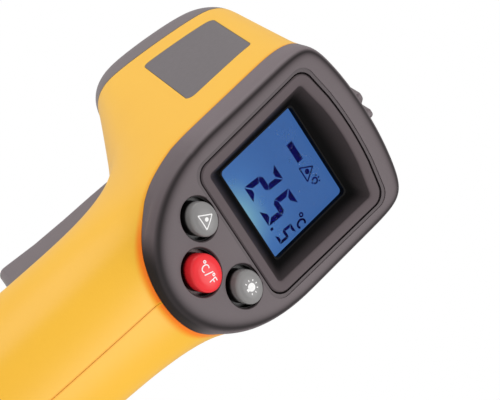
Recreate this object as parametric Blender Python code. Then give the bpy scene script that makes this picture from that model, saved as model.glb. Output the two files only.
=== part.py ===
"""Hand-held infrared thermometer, pistol shape, standing on its base.

Metres, +Z up, +Y the way the nose points, X across the body.
The whole outside is one smooth cage; the housings, bezel, nose, door and labels are
cut from it, so their surfaces run flush with a set clearance at every joint line.
"""
import math

import bmesh
import bpy
from mathutils import Matrix, Vector

# Clearances and walls
GAP = 0.0003            # between pieces that touch
WALL = 0.0024           # housing wall
LABEL_DEPTH = 0.0006    # thickness of the side labels

# Barrel and nose
NOSE_PLANE_Y = 0.04085
NOSE_TIP_Y = 0.05285
BARREL_Z = 0.1278
BARREL_R = 0.0204      # half size of the squared-off round section
BARREL_SQUARE = 4.8     # 2 is a circle, more is squarer
NOSE_TIP_R = 0.0190
NOSE_TIP_SQUARE = 3.6
NOSE_RECESS_R = 0.0148
NOSE_FLOOR_R = 0.0136
NOSE_RECESS_DEPTH = 0.0072

# Display panel, a tilted plane: u across, v up the panel, n out towards the user
PANEL_Y = -0.03285
PANEL_DROP = 0.0266     # the red button below the barrel's axis
PANEL_Z = BARREL_Z - PANEL_DROP
PANEL_TILT = math.radians(20.0)
SHIELD_HALF = 0.0217    # half width of the bezel
SHIELD_TOP = 0.0540
SHIELD_CROWN = 0.0030   # rise of the top edge from shoulder to middle
SHIELD_SIDE_TOP = 0.0470
SHIELD_SIDE_LOW = 0.0135
SHIELD_LOW = -0.0104
FACE_ROUND = 0.0020     # edge round of the face, at the sides
FACE_ROUND_LOW = 0.0034  # and under the buttons
TOP_LEVELLING = 0.6     # how far the top runs level instead of square to the panel
BEZEL_DEPTH = 0.0078    # at the sides
BEZEL_DEPTH_MID = 0.0060  # beside the buttons
BEZEL_DEPTH_LOW = 0.0027  # under the buttons
BEZEL_PLATE = 0.0025

# Handle: height, rear, front, half width
HANDLE = (
    (0.0840, -0.0347, -0.0016, 0.0171),
    (0.0700, -0.0385, -0.0046, 0.0168),
    (0.0500, -0.0434, -0.0080, 0.0164),
    (0.0280, -0.0484, -0.0123, 0.0162),
    (0.0100, -0.0526, -0.0145, 0.0162),
    (0.0030, -0.0536, -0.0150, 0.0162),
)
HANDLE_TILT = math.radians(12.5)
BASE_ROUND = 0.0026
NECK_DROP = 0.30        # where the neck is tight, as a share of the way to the handle
NECK_PULL = 0.85        # how much of the narrowing is done by then

# Display
BEZEL_CHEEK = 0.0067    # bezel's side to the display's mouth
MOUTH_TAPER = 0.0006    # the mouth is this much narrower at its foot, each side
FUNNEL_RUN = 0.0027     # mouth to window, each side
MOUTH_HALF_TOP = SHIELD_HALF - BEZEL_CHEEK
MOUTH_HALF_LOW = MOUTH_HALF_TOP - MOUTH_TAPER
MOUTH_LOW = 0.0138
MOUTH_TOP = 0.0431
MOUTH_CROWN = 0.0022
FRAME_RIM = 0.0024      # mouth edge to the frame's outer edge
WINDOW_HALF = MOUTH_HALF_LOW - FUNNEL_RUN
WINDOW_LOW = 0.0178
WINDOW_TOP = 0.0402
FRAME_DEPTH = 0.0050
FRAME_SLOPE_DEPTH = 0.0036
WINDOW_THICK = 0.0010
LCD_THICK = 0.0018
LIGHT_THICK = 0.0022
SHEET_LAP = 0.0016      # sheets reach this far past the window
BOARD_THICK = 0.0016
BOARD_FRONT = 0.0126
BOARD_MARGIN = 0.0031   # board's edge to the housing's wall
BOARD_HALF = SHIELD_HALF - WALL - BOARD_MARGIN
BOARD_HALF_LOW = 0.0095
BOARD_LOW = -0.0040
BOARD_TAPER = 0.0110
BOARD_TOP = 0.0425

# Buttons, u and v of each on the panel, and its oval half sizes
BUTTON_EDGE = 0.0126    # side buttons from the bezel's side
BUTTON_SIDE_U = SHIELD_HALF - BUTTON_EDGE
BUTTON_SIDE_V = 0.00635
BUTTON_HALF_U = 0.0039
BUTTON_HALF_V = 0.00325
UNIT_HALF_U = 0.004368
UNIT_HALF_V = 0.00364
BUTTON_RISE = 0.0027
BUTTON_DOME = 0.0012
BUTTON_FLANGE = 0.0008
BUTTON_TRAVEL = 0.0009
PLUNGER_R = 0.0014
SWITCH_HALF = 0.0028
SWITCH_TALL = 0.0020

# Trigger
TRIGGER_PIVOT_Y = -0.0010
TRIGGER_DROP = 0.0308   # its pin below the barrel's axis
TRIGGER_PIVOT_Z = BARREL_Z - TRIGGER_DROP
TRIGGER_HALF = 0.0100
TRIGGER_PIN_R = 0.0012
TRIGGER_PIN_HALF = 0.0122
TRIGGER_RISE = 0.0068   # above its pin
TRIGGER_FALL = 0.0290   # below its pin
# Finger side: y, and the height above the pin
TRIGGER_FINGER = ((0.0170, 0.0056), (0.0148, -0.0030), (0.0126, -0.0108),
                  (0.0108, -0.0190), (0.0100, -0.0265))
TRIGGER_FRONT = tuple((y, TRIGGER_PIVOT_Z + rise) for y, rise in TRIGGER_FINGER)
TRIGGER_TOP_Z = TRIGGER_PIVOT_Z + TRIGGER_RISE
TRIGGER_LOW_Z = TRIGGER_PIVOT_Z - TRIGGER_FALL
TRIGGER_BACK_Y = -0.0085
SLOT_MARGIN = 0.0010
SLOT_REACH = 0.0060     # room behind the trigger for its swing
SPRING_R = 0.0024
SPRING_WIRE = 0.0003
SPRING_TURNS = 4
MICRO_FRONT_Y = -0.0127
MICRO_DEEP = 0.0085
MICRO_TALL = 0.0090
MICRO_DROP = 0.0165     # below the trigger's pin
MICRO_Z = TRIGGER_PIVOT_Z - MICRO_DROP
MICRO_HALF = 0.0042
MICRO_PLUNGER_R = 0.0010
MICRO_TRAVEL = 0.0018

# Optics, all about the barrel axis
TUBE_R = 0.0072
TUBE_BORE_R = 0.0050
TUBE_BACK_Y = 0.0125
TUBE_FRONT_Y = 0.0448
LENS_THICK = 0.0016
LENS_SET_BACK = 0.0018
CAN_R = 0.0041
CAN_LONG = 0.0050
SENSOR_BOARD_HALF = 0.0085
LASER_DROP = 0.0112
LASER_R = 0.0029
LASER_LONG = 0.0170
LASER_HOLE_R = 0.0016
BRACKET_MARGIN = 0.0014
BRACKET_R = BARREL_R - WALL - BRACKET_MARGIN
BRACKET_THICK = 0.0020
BRACKET_Y = 0.0325

# Top sight
SIGHT_HALF = 0.0033
SIGHT_BACK_Y = -0.0116
SIGHT_LONG = 0.0260
SIGHT_RISE = 0.0007     # above the bezel's top edge
SIGHT_FALL = 0.0006     # drop of the ridge towards the nose
SIGHT_SINK = 0.0040
SIGHT_NOTCH = 0.0016

# Batteries, door and tray in the handle's own tilted frame: f forward, a up the handle
CELL_Y = -0.0267
CELL_Z = 0.0385
CELL_R = 0.00525
CELL_LONG = 0.0445
CELL_NUB_R = 0.0019
CELL_NUB = 0.0010
TRAY_THICK = 0.0014
CONTACT_THICK = 0.0005
CONTACT_HALF = 0.0035
TRAY_SHELF = 0.0020     # ledge in the housings that carries the tray
TRAY_SHELF_HALF = 0.0136
TRAY_LIP = 0.0040       # how far the tray's ends reach past the cells' middle
COIL_TALL = 0.0024
COIL_R = 0.0030
COIL_WIRE = 0.0003
COIL_TURNS = 2
DOOR_HALF = 0.0096
DOOR_LOW = -0.0285
DOOR_TOP = 0.0232
DOOR_BACK = 0.0040
DOOR_FAR = 0.0260

# Labels and case screws
LABEL_BACK_Y = -0.0040
LABEL_FRONT_Y = 0.0328
LABEL_BELOW = 0.0060    # from the barrel's axis
LABEL_ABOVE = 0.0127
LABEL_LOW_Z = BARREL_Z - LABEL_BELOW
LABEL_TOP_Z = BARREL_Z + LABEL_ABOVE
SCREW_R = 0.0012
SCREW_HEAD_R = 0.0022
SCREW_HEAD = 0.0014
SCREW_LONG = 0.0150
SCREW_SINK = 0.0030
BOSS_R = 0.0034
SCREW_ABOVE = 0.0162    # head screw over the barrel's axis
SCREWS = {"case_screw_head": (0.0270, BARREL_Z + SCREW_ABOVE, 0.0158),
          "case_screw_grip": (-0.0260, 0.0735, 0.0138),
          "case_screw_base": (-0.0400, 0.0090, 0.0128)}

AROUND = 24
REGION = range(9, 15)   # underside columns the handle grows from
REGION_RINGS = (3, 7)

for old in list(bpy.data.objects):
    bpy.data.objects.remove(old, do_unlink=True)


def material(name, colour, rough, metal=0.0):
    mat = bpy.data.materials.new(name)
    mat.use_nodes = True
    node = mat.node_tree.nodes["Principled BSDF"]
    node.inputs["Base Color"].default_value = (*colour, 1.0)
    node.inputs["Roughness"].default_value = rough
    node.inputs["Metallic"].default_value = metal
    return mat


MATS = {
    "yellow": material("yellow_plastic", (0.93, 0.52, 0.07), 0.45),
    "grey": material("dark_grey_plastic", (0.14, 0.125, 0.13), 0.5),
    "black": material("black_plastic", (0.015, 0.013, 0.013), 0.4),
    "button": material("grey_rubber", (0.38, 0.36, 0.35), 0.6),
    "red": material("red_rubber", (0.86, 0.02, 0.03), 0.5),
    "clear": material("clear_window", (0.75, 0.8, 0.85), 0.05),
    "lcd": material("lcd_blue", (0.05, 0.14, 0.40), 0.25),
    "light": material("light_guide", (0.85, 0.88, 0.9), 0.3),
    "zebra": material("zebra_rubber", (0.55, 0.3, 0.3), 0.7),
    "board": material("green_board", (0.02, 0.16, 0.06), 0.5),
    "steel": material("steel", (0.6, 0.6, 0.62), 0.3, 1.0),
    "brass": material("brass", (0.7, 0.5, 0.2), 0.3, 1.0),
    "lens": material("ir_lens", (0.05, 0.05, 0.07), 0.1),
    "cell": material("cell_jacket", (0.03, 0.05, 0.12), 0.35),
}


def panel(u, v, n):
    """Panel place to world place."""
    s, c = math.sin(PANEL_TILT), math.cos(PANEL_TILT)
    return Vector((u, PANEL_Y + v * s - n * c, PANEL_Z + v * c + n * s))


def grip(x, f, a):
    """Place in the handle's tilted frame to world place."""
    s, c = math.sin(HANDLE_TILT), math.cos(HANDLE_TILT)
    return Vector((x, CELL_Y + f * c + a * s, CELL_Z - f * s + a * c))


# Mesh helpers: every solid is a bmesh until it is given a name

def loft(rings, closed=True):
    """Closed solid through rings of equal length, with flat ends."""
    bm = bmesh.new()
    rows = [[bm.verts.new(p) for p in ring] for ring in rings]
    count = len(rows[0])
    for low, high in zip(rows, rows[1:]):
        for i in range(count):
            k = (i + 1) % count
            bm.faces.new((low[i], low[k], high[k], high[i]))
    bm.faces.new(rows[0][::-1])
    bm.faces.new(rows[-1])
    bmesh.ops.recalc_face_normals(bm, faces=bm.faces)
    return bm


def box(x0, x1, y0, y1, z0, z1, place=Vector):
    low = [(x0, y0), (x1, y0), (x1, y1), (x0, y1)]
    return loft([[place((x, y, z)) for x, y in low] for z in (z0, z1)])


def in_panel(p):
    return panel(*p)


def in_grip(p):
    return grip(*p)


def circle(radius, count, half_v=None):
    half_v = radius if half_v is None else half_v
    return [(radius * math.sin(2 * math.pi * i / count),
             half_v * math.cos(2 * math.pi * i / count)) for i in range(count)]


def rod(x, z, stations, count=24):
    """Round solid along Y: stations of (y, radius)."""
    return loft([[Vector((x + a, y, z + b)) for a, b in circle(r, count)]
                 for y, r in stations])


def cross_rod(y, z, stations, count=16):
    """Round solid along X: stations of (x, radius)."""
    return loft([[Vector((x, y + a, z + b)) for a, b in circle(r, count)]
                 for x, r in stations])


def side_prism(outline, half, place=Vector):
    """Solid across X from an outline of (y, z), or of grip (f, a)."""
    return loft([[place((x, a, b)) for a, b in outline] for x in (-half, half)])


def to_object(name, bm):
    mesh = bpy.data.meshes.new(name)
    bm.to_mesh(mesh)
    bm.free()
    obj = bpy.data.objects.new(name, mesh)
    bpy.context.scene.collection.objects.link(obj)
    return obj


def from_object(obj):
    """Evaluated mesh of an object as a cleaned bmesh; the object goes."""
    graph = bpy.context.evaluated_depsgraph_get()
    graph.update()
    bm = bmesh.new()
    mesh = bpy.data.meshes.new_from_object(obj.evaluated_get(graph))
    bm.from_mesh(mesh)
    bpy.data.objects.remove(obj, do_unlink=True)
    bpy.data.meshes.remove(mesh)
    bmesh.ops.remove_doubles(bm, verts=bm.verts, dist=2e-6)
    bmesh.ops.dissolve_degenerate(bm, edges=bm.edges, dist=1e-6)
    return bm


def combine(bm, others, operation):
    """Boolean of a solid with others, which are used up."""
    obj = to_object("work", bm)
    tools = []
    for other in others:
        tool = to_object("cutter", other)
        tool.hide_render = True
        tool.display_type = 'WIRE'
        mod = obj.modifiers.new("cut", 'BOOLEAN')
        mod.operation = operation
        mod.solver = 'EXACT'
        mod.object = tool
        tools.append(tool)
    out = from_object(obj)
    for tool in tools:
        bpy.data.objects.remove(tool, do_unlink=True)
    return out


def cut(bm, *others):
    return combine(bm, others, 'DIFFERENCE')


def keep(bm, *others):
    return combine(bm, others, 'INTERSECT')


def join(bm, *others):
    return combine(bm, others, 'UNION')


def soften(bm, width, segments=2, angle=35):
    """Round the sharp edges of a simple solid."""
    edges = [e for e in bm.edges if e.is_manifold
             and e.calc_face_angle() > math.radians(angle)]
    bmesh.ops.bevel(bm, geom=edges, offset=width, offset_type='OFFSET', affect='EDGES',
                    segments=segments, profile=0.5, material=-1, clamp_overlap=True)
    return bm


def node(name, bm, mat, origin=None):
    """Finish a solid as a named node, with its origin on its joint if it moves."""
    if origin is not None:
        bmesh.ops.translate(bm, verts=bm.verts, vec=-Vector(origin))
    obj = to_object(name, bm)
    if origin is not None:
        obj.location = origin
    obj.data.materials.clear()
    obj.data.materials.append(MATS[mat])
    for poly in obj.data.polygons:
        poly.material_index = 0
    return obj


# The outside

def low_share(v):
    """0 beside the display, 1 at the bezel's foot."""
    return math.sqrt(min(1.0, max(0.0, (SHIELD_SIDE_LOW - v) / (SHIELD_SIDE_LOW - SHIELD_LOW))))


def face_round(v):
    return FACE_ROUND + (FACE_ROUND_LOW - FACE_ROUND) * low_share(v)


def shield(inset=0.0, rounds=0.0):
    """Outline of the bezel, clockwise from the top middle, pulled in by inset and by edge rounds."""
    w = SHIELD_HALF
    right = [(0.0, SHIELD_TOP), (0.33 * w, SHIELD_TOP - 0.1 * SHIELD_CROWN),
             (0.65 * w, SHIELD_TOP - 0.45 * SHIELD_CROWN), (0.9 * w, SHIELD_TOP - SHIELD_CROWN)]
    side = SHIELD_SIDE_TOP - SHIELD_SIDE_LOW
    right += [(w, SHIELD_SIDE_TOP - side * k / 4) for k in range(5)]
    for deg in (25, 50, 71):
        a = math.radians(deg)
        right.append((w * math.cos(a),
                      SHIELD_SIDE_LOW - (SHIELD_SIDE_LOW - SHIELD_LOW) * math.sin(a)))
    loop = right + [(0.0, SHIELD_LOW)] + [(-u, v) for u, v in right[:0:-1]]
    out = []
    for i, (u, v) in enumerate(loop):
        before, after = Vector(loop[i - 1]), Vector(loop[(i + 1) % AROUND])
        along = (after - before).normalized()
        depth = inset + rounds * face_round(v)
        out.append((u + along.y * depth, v - along.x * depth))
    return out


def barrel_ring(radius, y, square=BARREL_SQUARE):
    """Section of the barrel: a round moved towards a square."""
    def ease(k):
        return math.copysign(abs(k) ** (2 / square), k)
    return [Vector((radius * ease(a), y, BARREL_Z + radius * ease(b))) for a, b in circle(1.0, AROUND)]


def round_square(s, t, roundness):
    """Place in a square moved towards a disc."""
    x = s * (1 - roundness + roundness * math.sqrt(1 - t * t / 2))
    y = t * (1 - roundness + roundness * math.sqrt(1 - s * s / 2))
    return x, y


def cage(inset=0.0, levels=1):
    """The whole outside as one smooth solid, pulled in by inset."""
    outer = shield()

    def ring(rounds, drops, base=-inset):
        out = []
        for (u, v), (_, outer_v) in zip(shield(inset, rounds), outer):
            n = base - drops * face_round(outer_v)
            rise = -n * math.tan(PANEL_TILT) * TOP_LEVELLING
            out.append(panel(u, v + (rise if outer_v > SHIELD_SIDE_TOP else 0.0), n))
        return out

    rear = ring(0.0, 0.0, -0.0120)
    front = barrel_ring(BARREL_R - inset, NOSE_PLANE_Y)
    rings = [ring(3.0, 0.0), ring(1.0, 0.0), ring(0.25, 0.3), ring(0.0, 1.1), ring(0.0, 0.0, -0.0070), rear]
    rings += [[p.lerp(q, w) for p, q in zip(rear, front)] for w in (0.22, 0.46, 0.66, 0.84)]
    tip = NOSE_TIP_Y - inset
    rings += [front, barrel_ring(BARREL_R - 0.0006 - inset, 0.6 * NOSE_PLANE_Y + 0.4 * tip),
              barrel_ring(NOSE_TIP_R + 0.0004 - inset, tip - 0.0012, NOSE_TIP_SQUARE),
              barrel_ring(NOSE_TIP_R - 0.0014 - inset, tip, NOSE_TIP_SQUARE),
              barrel_ring(NOSE_TIP_R - 0.0046 - inset, tip, 2.0)]
    bm = bmesh.new()
    grid = [[bm.verts.new(p) for p in r] for r in rings]
    first, last = REGION_RINGS
    for j in range(len(grid) - 1):
        for i in range(AROUND):
            if first <= j < last and i in REGION:
                continue
            k = (i + 1) % AROUND
            bm.faces.new((grid[j][i], grid[j][k], grid[j + 1][k], grid[j + 1][i]))
    bm.faces.new(grid[0][::-1])
    bm.faces.new(grid[-1])

    columns = range(REGION[0], REGION[-1] + 2)
    wide, long = len(columns) - 1, last - first
    edge = [(first, i) for i in columns[:-1]]
    edge += [(j, columns[-1]) for j in range(first, last)]
    edge += [(last, i) for i in columns[:0:-1]]
    edge += [(j, columns[0]) for j in range(last, first, -1)]

    def section(z, back, front_y, half, j, i):
        s = 1 - 2 * (i - columns[0]) / wide
        t = 2 * (j - first) / long - 1
        x, y = round_square(s, t, 0.8)
        deep = (front_y - back) / 2
        return Vector((half * x, (back + front_y) / 2 + deep * y, z))

    floor = inset
    stations = [(max(z, floor + BASE_ROUND), b + inset, f - inset, h - inset)
                for z, b, f, h in HANDLE]
    z, b, f, h = stations[-1]
    stations.append((floor, b + BASE_ROUND, f - BASE_ROUND, h - BASE_ROUND))
    loop = [grid[j][i] for j, i in edge]
    levels_down = [[section(*station, j, i) for j, i in edge] for station in stations]
    neck = [Vector((p.co.x + NECK_PULL * (q.x - p.co.x), *p.co.yz.lerp(q.yz, NECK_DROP)))
            for p, q in zip(loop, levels_down[0])]
    for places in [neck] + levels_down:
        lower = [bm.verts.new(place) for place in places]
        for m in range(len(edge)):
            q = (m + 1) % len(edge)
            bm.faces.new((loop[m], loop[q], lower[q], lower[m]))
        loop = lower
    base = dict(zip(edge, loop))
    for j in range(first, last + 1):
        for i in columns:
            if (j, i) not in base:
                base[j, i] = bm.verts.new(section(*stations[-1], j, i))
    for j in range(first, last):
        for i in columns[:-1]:
            bm.faces.new((base[j, i], base[j, i + 1], base[j + 1, i + 1], base[j + 1, i]))
    bmesh.ops.recalc_face_normals(bm, faces=bm.faces)
    if levels == 0:
        bmesh.ops.triangulate(bm, faces=bm.faces)
        return bm
    obj = to_object("cage", bm)
    mod = obj.modifiers.new("smooth", 'SUBSURF')
    mod.levels = mod.render_levels = levels
    out = from_object(obj)
    bmesh.ops.triangulate(out, faces=out.faces)
    return out


def bezel_side(shift):
    """Side profile, in panel v and n, of all that lies behind the bezel's joint line."""
    far = -0.30
    deep, mid, low = (-d - shift for d in (BEZEL_DEPTH, BEZEL_DEPTH_MID, BEZEL_DEPTH_LOW))
    foot = SHIELD_LOW - shift
    return [(0.20, deep), (SHIELD_SIDE_LOW, deep), (0.0010, mid), (foot, low), (foot, 0.02),
            (-0.30, 0.02), (-0.30, far), (0.20, far)]


def behind_bezel(shift):
    return loft([[panel(x, v, n) for v, n in bezel_side(shift)] for x in (-0.2, 0.2)])


def mouth(grow=0.0, n=0.0, half_low=MOUTH_HALF_LOW, half_top=MOUTH_HALF_TOP,
          low=MOUTH_LOW, top=MOUTH_TOP, crown=MOUTH_CROWN):
    """Display outline with a crowned top, as panel places at depth n."""
    right = [(half_low + grow, low - grow), (half_top + grow, top + grow)]
    arch = [(k / 3 * (half_top + grow), top + grow + crown * (1 - (k / 3) ** 2))
            for k in (2, 1, 0)]
    loop = right + arch + [(-u, v) for u, v in reversed(right + arch[:-1])]
    return [panel(u, v, n) for u, v in loop]


def oval(half_u, half_v, u, v, n, count=24):
    return [panel(u + a, v + b, n) for a, b in circle(half_u, count, half_v)]


BUTTONS = {"laser": (-BUTTON_SIDE_U, BUTTON_SIDE_V, BUTTON_HALF_U, BUTTON_HALF_V, "button"),
           "unit": (0.0, 0.0, UNIT_HALF_U, UNIT_HALF_V, "red"),
           "light": (BUTTON_SIDE_U, BUTTON_SIDE_V, BUTTON_HALF_U, BUTTON_HALF_V, "button")}


def make_bezel():
    bm = cut(cage(), behind_bezel(0.0))
    hollow = loft([[panel(u, v, n) for u, v in shield(WALL)] for n in (-0.05, -BEZEL_PLATE)])
    holes = [loft([mouth(FRAME_RIM + GAP, n) for n in (-0.05, 0.01)])]
    for u, v, a, b, _ in BUTTONS.values():
        holes.append(loft([oval(a + GAP, b + GAP, u, v, n) for n in (-0.05, 0.01)]))
    node("rear_bezel", cut(bm, hollow, sight_block(GAP), *holes), "grey")


def window(n, grow=0.0):
    return mouth(grow, n, WINDOW_HALF, WINDOW_HALF, WINDOW_LOW, WINDOW_TOP, 0.0)


def sheet(name, front, thick, mat):
    node(name, loft([window(n, SHEET_LAP) for n in (-front - thick, -front)]), mat)


def make_display():
    body = loft([mouth(FRAME_RIM, n) for n in (-FRAME_DEPTH, -0.0001)])
    funnel = loft([window(-0.05), window(-FRAME_SLOPE_DEPTH), mouth(0.0, 0.0),
                   mouth(0.0, 0.01)])
    node("display_frame", cut(body, funnel), "black")
    depth = FRAME_DEPTH + GAP
    for name, thick, mat in (("display_window", WINDOW_THICK, "clear"),
                             ("lcd_panel", LCD_THICK, "lcd"),
                             ("backlight_panel", LIGHT_THICK, "light")):
        sheet(name, depth, thick, mat)
        depth += thick + GAP
    low = WINDOW_LOW - SHEET_LAP - GAP
    lcd_back = FRAME_DEPTH + 2 * GAP + WINDOW_THICK
    node("zebra_strip", box(-WINDOW_HALF, WINDOW_HALF, low - 0.0018, low,
                            -BOARD_FRONT + GAP, -lcd_back, in_panel), "zebra")
    right = [(BOARD_HALF_LOW, BOARD_LOW), (BOARD_HALF, BOARD_TAPER), (BOARD_HALF, BOARD_TOP)]
    outline = right + [(-u, v) for u, v in reversed(right)]
    node("main_board", loft([[panel(u, v, n) for u, v in outline]
                             for n in (-BOARD_FRONT - BOARD_THICK, -BOARD_FRONT)]), "board")


def make_buttons():
    flange_front = BEZEL_PLATE + GAP
    for name, (u, v, a, b, mat) in BUTTONS.items():
        wide_a, wide_b = a + BUTTON_FLANGE, b + BUTTON_FLANGE
        back = flange_front + 0.0010
        dome = BUTTON_RISE - BUTTON_DOME
        rings = [oval(wide_a, wide_b, u, v, -back), oval(wide_a, wide_b, u, v, -flange_front),
                 oval(a, b, u, v, -flange_front), oval(a, b, u, v, dome)]
        for lift, share in ((0.6, 0.88), (0.9, 0.62), (1.0, 0.3)):
            rings.append(oval(a * share, b * share, u, v, dome + BUTTON_DOME * lift))
        origin = panel(u, v, 0.0)
        node(name + "_button", loft(rings), mat, origin)
        switch_top = BOARD_FRONT - GAP - SWITCH_TALL
        tip = switch_top - GAP - BUTTON_TRAVEL
        node(name + "_plunger", loft([oval(PLUNGER_R, PLUNGER_R, u, v, n, 12)
                                      for n in (-tip, -back - GAP)]), "black", origin)
        node(name + "_switch", box(u - SWITCH_HALF, u + SWITCH_HALF, v - SWITCH_HALF,
                                   v + SWITCH_HALF, -BOARD_FRONT + GAP, -switch_top, in_panel),
             "steel")


def make_nose():
    bm = keep(cage(), box(-0.2, 0.2, NOSE_PLANE_Y + GAP, 0.3, -0.2, 0.4))
    floor = NOSE_TIP_Y - NOSE_RECESS_DEPTH
    recess = rod(0, BARREL_Z, [(floor, NOSE_FLOOR_R), (NOSE_TIP_Y + 0.001, NOSE_RECESS_R)])
    bore = rod(0, BARREL_Z, [(0.0, TUBE_R + GAP), (floor + 0.001, TUBE_R + GAP)])
    laser = rod(0, BARREL_Z - LASER_DROP, [(0.0, LASER_HOLE_R), (floor + 0.001, LASER_HOLE_R)],
                12)
    node("nose_ring", cut(bm, recess, bore, laser), "grey")


def make_optics():
    tube = rod(0, BARREL_Z, [(TUBE_BACK_Y, TUBE_R), (TUBE_FRONT_Y, TUBE_R)])
    bore = rod(0, BARREL_Z, [(TUBE_BACK_Y - 0.01, TUBE_BORE_R), (TUBE_FRONT_Y + 0.01, TUBE_BORE_R)])
    node("lens_tube", cut(tube, bore), "black")
    front = TUBE_FRONT_Y - LENS_SET_BACK
    fit = TUBE_BORE_R - GAP
    node("ir_lens", rod(0, BARREL_Z, [(front - LENS_THICK, fit), (front - 0.0005, fit),
                                      (front, 0.7 * fit)]), "lens")
    node("thermopile", rod(0, BARREL_Z, [(TUBE_BACK_Y, CAN_R), (TUBE_BACK_Y + CAN_LONG, CAN_R)]),
         "steel")
    h = SENSOR_BOARD_HALF
    node("sensor_board", box(-h, h, TUBE_BACK_Y - GAP - BOARD_THICK, TUBE_BACK_Y - GAP,
                             BARREL_Z - h, BARREL_Z + h), "board")
    laser_z = BARREL_Z - LASER_DROP
    tip = NOSE_PLANE_Y
    node("laser_module", rod(0, laser_z, [(tip - LASER_LONG, LASER_R), (tip - 0.0006, LASER_R),
                                          (tip, LASER_R - 0.0006)], 20), "brass")
    bracket = rod(0, BARREL_Z, [(BRACKET_Y, BRACKET_R), (BRACKET_Y + BRACKET_THICK, BRACKET_R)], 32)
    holes = [rod(0, BARREL_Z, [(0.0, TUBE_R + GAP), (0.06, TUBE_R + GAP)]),
             rod(0, laser_z, [(0.0, LASER_R + GAP), (0.06, LASER_R + GAP)], 20)]
    node("optics_bracket", cut(bracket, *holes), "black")


def sight_top():
    return panel(0.0, SHIELD_TOP, 0.0).z + SIGHT_RISE


def sight_block(margin):
    """Sight blank, or its pocket when a margin is given."""
    half, back, front = SIGHT_HALF + margin, SIGHT_BACK_Y - margin, SIGHT_BACK_Y + SIGHT_LONG + margin
    top = sight_top()
    low = top - SIGHT_FALL - SIGHT_SINK - margin
    side = [(back, low), (front, low), (front, top - SIGHT_FALL), (back, top)]
    return side_prism(side, half)


def make_sight():
    bm = soften(sight_block(0.0), 0.0008)
    top = sight_top() + 0.001
    w = SIGHT_NOTCH
    notch = loft([[Vector((x, y, z)) for x, z in ((-w, top), (0.0, top - w - 0.0022), (w, top))]
                  for y in (SIGHT_BACK_Y - 0.01, SIGHT_BACK_Y + SIGHT_LONG + 0.01)])
    node("top_sight", cut(bm, notch), "grey")


def pin_rod(margin):
    half, r = TRIGGER_PIN_HALF + margin, TRIGGER_PIN_R + margin
    return cross_rod(TRIGGER_PIVOT_Y, TRIGGER_PIVOT_Z, [(-half, r), (half, r)])


def make_trigger():
    outline = [(TRIGGER_BACK_Y, TRIGGER_LOW_Z + 0.003), (TRIGGER_BACK_Y, TRIGGER_TOP_Z - 0.003),
               (TRIGGER_BACK_Y + 0.003, TRIGGER_TOP_Z),
               (TRIGGER_FRONT[0][0] - 0.0015, TRIGGER_TOP_Z)]
    outline += list(TRIGGER_FRONT)
    outline += [(TRIGGER_FRONT[-1][0] - 0.0025, TRIGGER_LOW_Z), (TRIGGER_BACK_Y + 0.002, TRIGGER_LOW_Z)]
    bm = soften(side_prism(outline, TRIGGER_HALF), 0.0014, 2, 50)
    y, z = TRIGGER_PIVOT_Y, TRIGGER_PIVOT_Z
    coil_half = SPRING_TURNS * 0.00075 + SPRING_WIRE + GAP
    room = SPRING_R + SPRING_WIRE + 3 * GAP
    pocket = box(-coil_half, coil_half, y - 0.02, y + room, z - room, z + room)
    node("trigger", cut(bm, pin_rod(GAP), pocket), "grey", (0.0, y, z))
    node("trigger_pin", pin_rod(0.0), "steel")
    coil("trigger_spring", SPRING_R, SPRING_WIRE, SPRING_TURNS, SPRING_TURNS * 0.0015,
         Matrix.Translation((-SPRING_TURNS * 0.00075, y, z)) @ Matrix.Rotation(math.pi / 2, 4, 'Y'))

    front, back = MICRO_FRONT_Y, MICRO_FRONT_Y - MICRO_DEEP
    half_z = MICRO_TALL / 2
    body = box(-MICRO_HALF, MICRO_HALF, back, front, MICRO_Z - half_z, MICRO_Z + half_z)
    reach = MICRO_TRAVEL + 2 * GAP
    hole = rod(0, MICRO_Z, [(front - 0.0015 - reach, MICRO_PLUNGER_R + GAP),
                            (front + 0.01, MICRO_PLUNGER_R + GAP)], 12)
    node("trigger_switch", cut(soften(body, 0.0005, 1), hole), "black")
    tip = TRIGGER_BACK_Y - GAP
    node("switch_plunger", rod(0, MICRO_Z, [(front - 0.0015, MICRO_PLUNGER_R),
                                            (tip, MICRO_PLUNGER_R)], 12), "red",
         (0.0, tip, MICRO_Z))


def coil(name, radius, wire, turns, tall, place):
    """Wound spring along its own Z, swept as one round wire."""
    per_turn, sides = 10, 6
    steps = int(per_turn * turns)
    rings = []
    for k in range(steps + 1):
        a = 2 * math.pi * k / per_turn
        out = Vector((math.cos(a), math.sin(a), 0.0))
        mid = out * radius + Vector((0, 0, tall * k / steps))
        rings.append([place @ (mid + out * wire * math.cos(b) + Vector((0, 0, wire * math.sin(b))))
                      for b in (2 * math.pi * m / sides for m in range(sides))])
    print(name, "least self gap mm", round((tall / turns - 2 * wire) * 1000, 3))
    node(name, loft(rings), "steel")


def door_room(margin):
    return box(-DOOR_HALF - margin, DOOR_HALF + margin, DOOR_BACK - margin, DOOR_FAR,
               DOOR_LOW - margin, DOOR_TOP + margin, in_grip)


def label_room(side, margin):
    slant = (LABEL_TOP_Z - LABEL_LOW_Z) * math.tan(PANEL_TILT)
    m = margin
    outline = [(LABEL_BACK_Y - m, LABEL_LOW_Z - m), (LABEL_FRONT_Y + m, LABEL_LOW_Z - m),
               (LABEL_FRONT_Y + m, LABEL_TOP_Z + m), (LABEL_BACK_Y + slant - m, LABEL_TOP_Z + m)]
    return loft([[Vector((x, y, z)) for y, z in outline] for x in (side * 0.012, side * 0.05)])


def tray_ends():
    """Low and high inner ends of the battery tray, up the handle."""
    half = CELL_LONG / 2
    return (-half - 2 * GAP - 2 * SPRING_WIRE - COIL_TALL,
            half + CELL_NUB + 2 * GAP + CONTACT_THICK)


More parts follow.
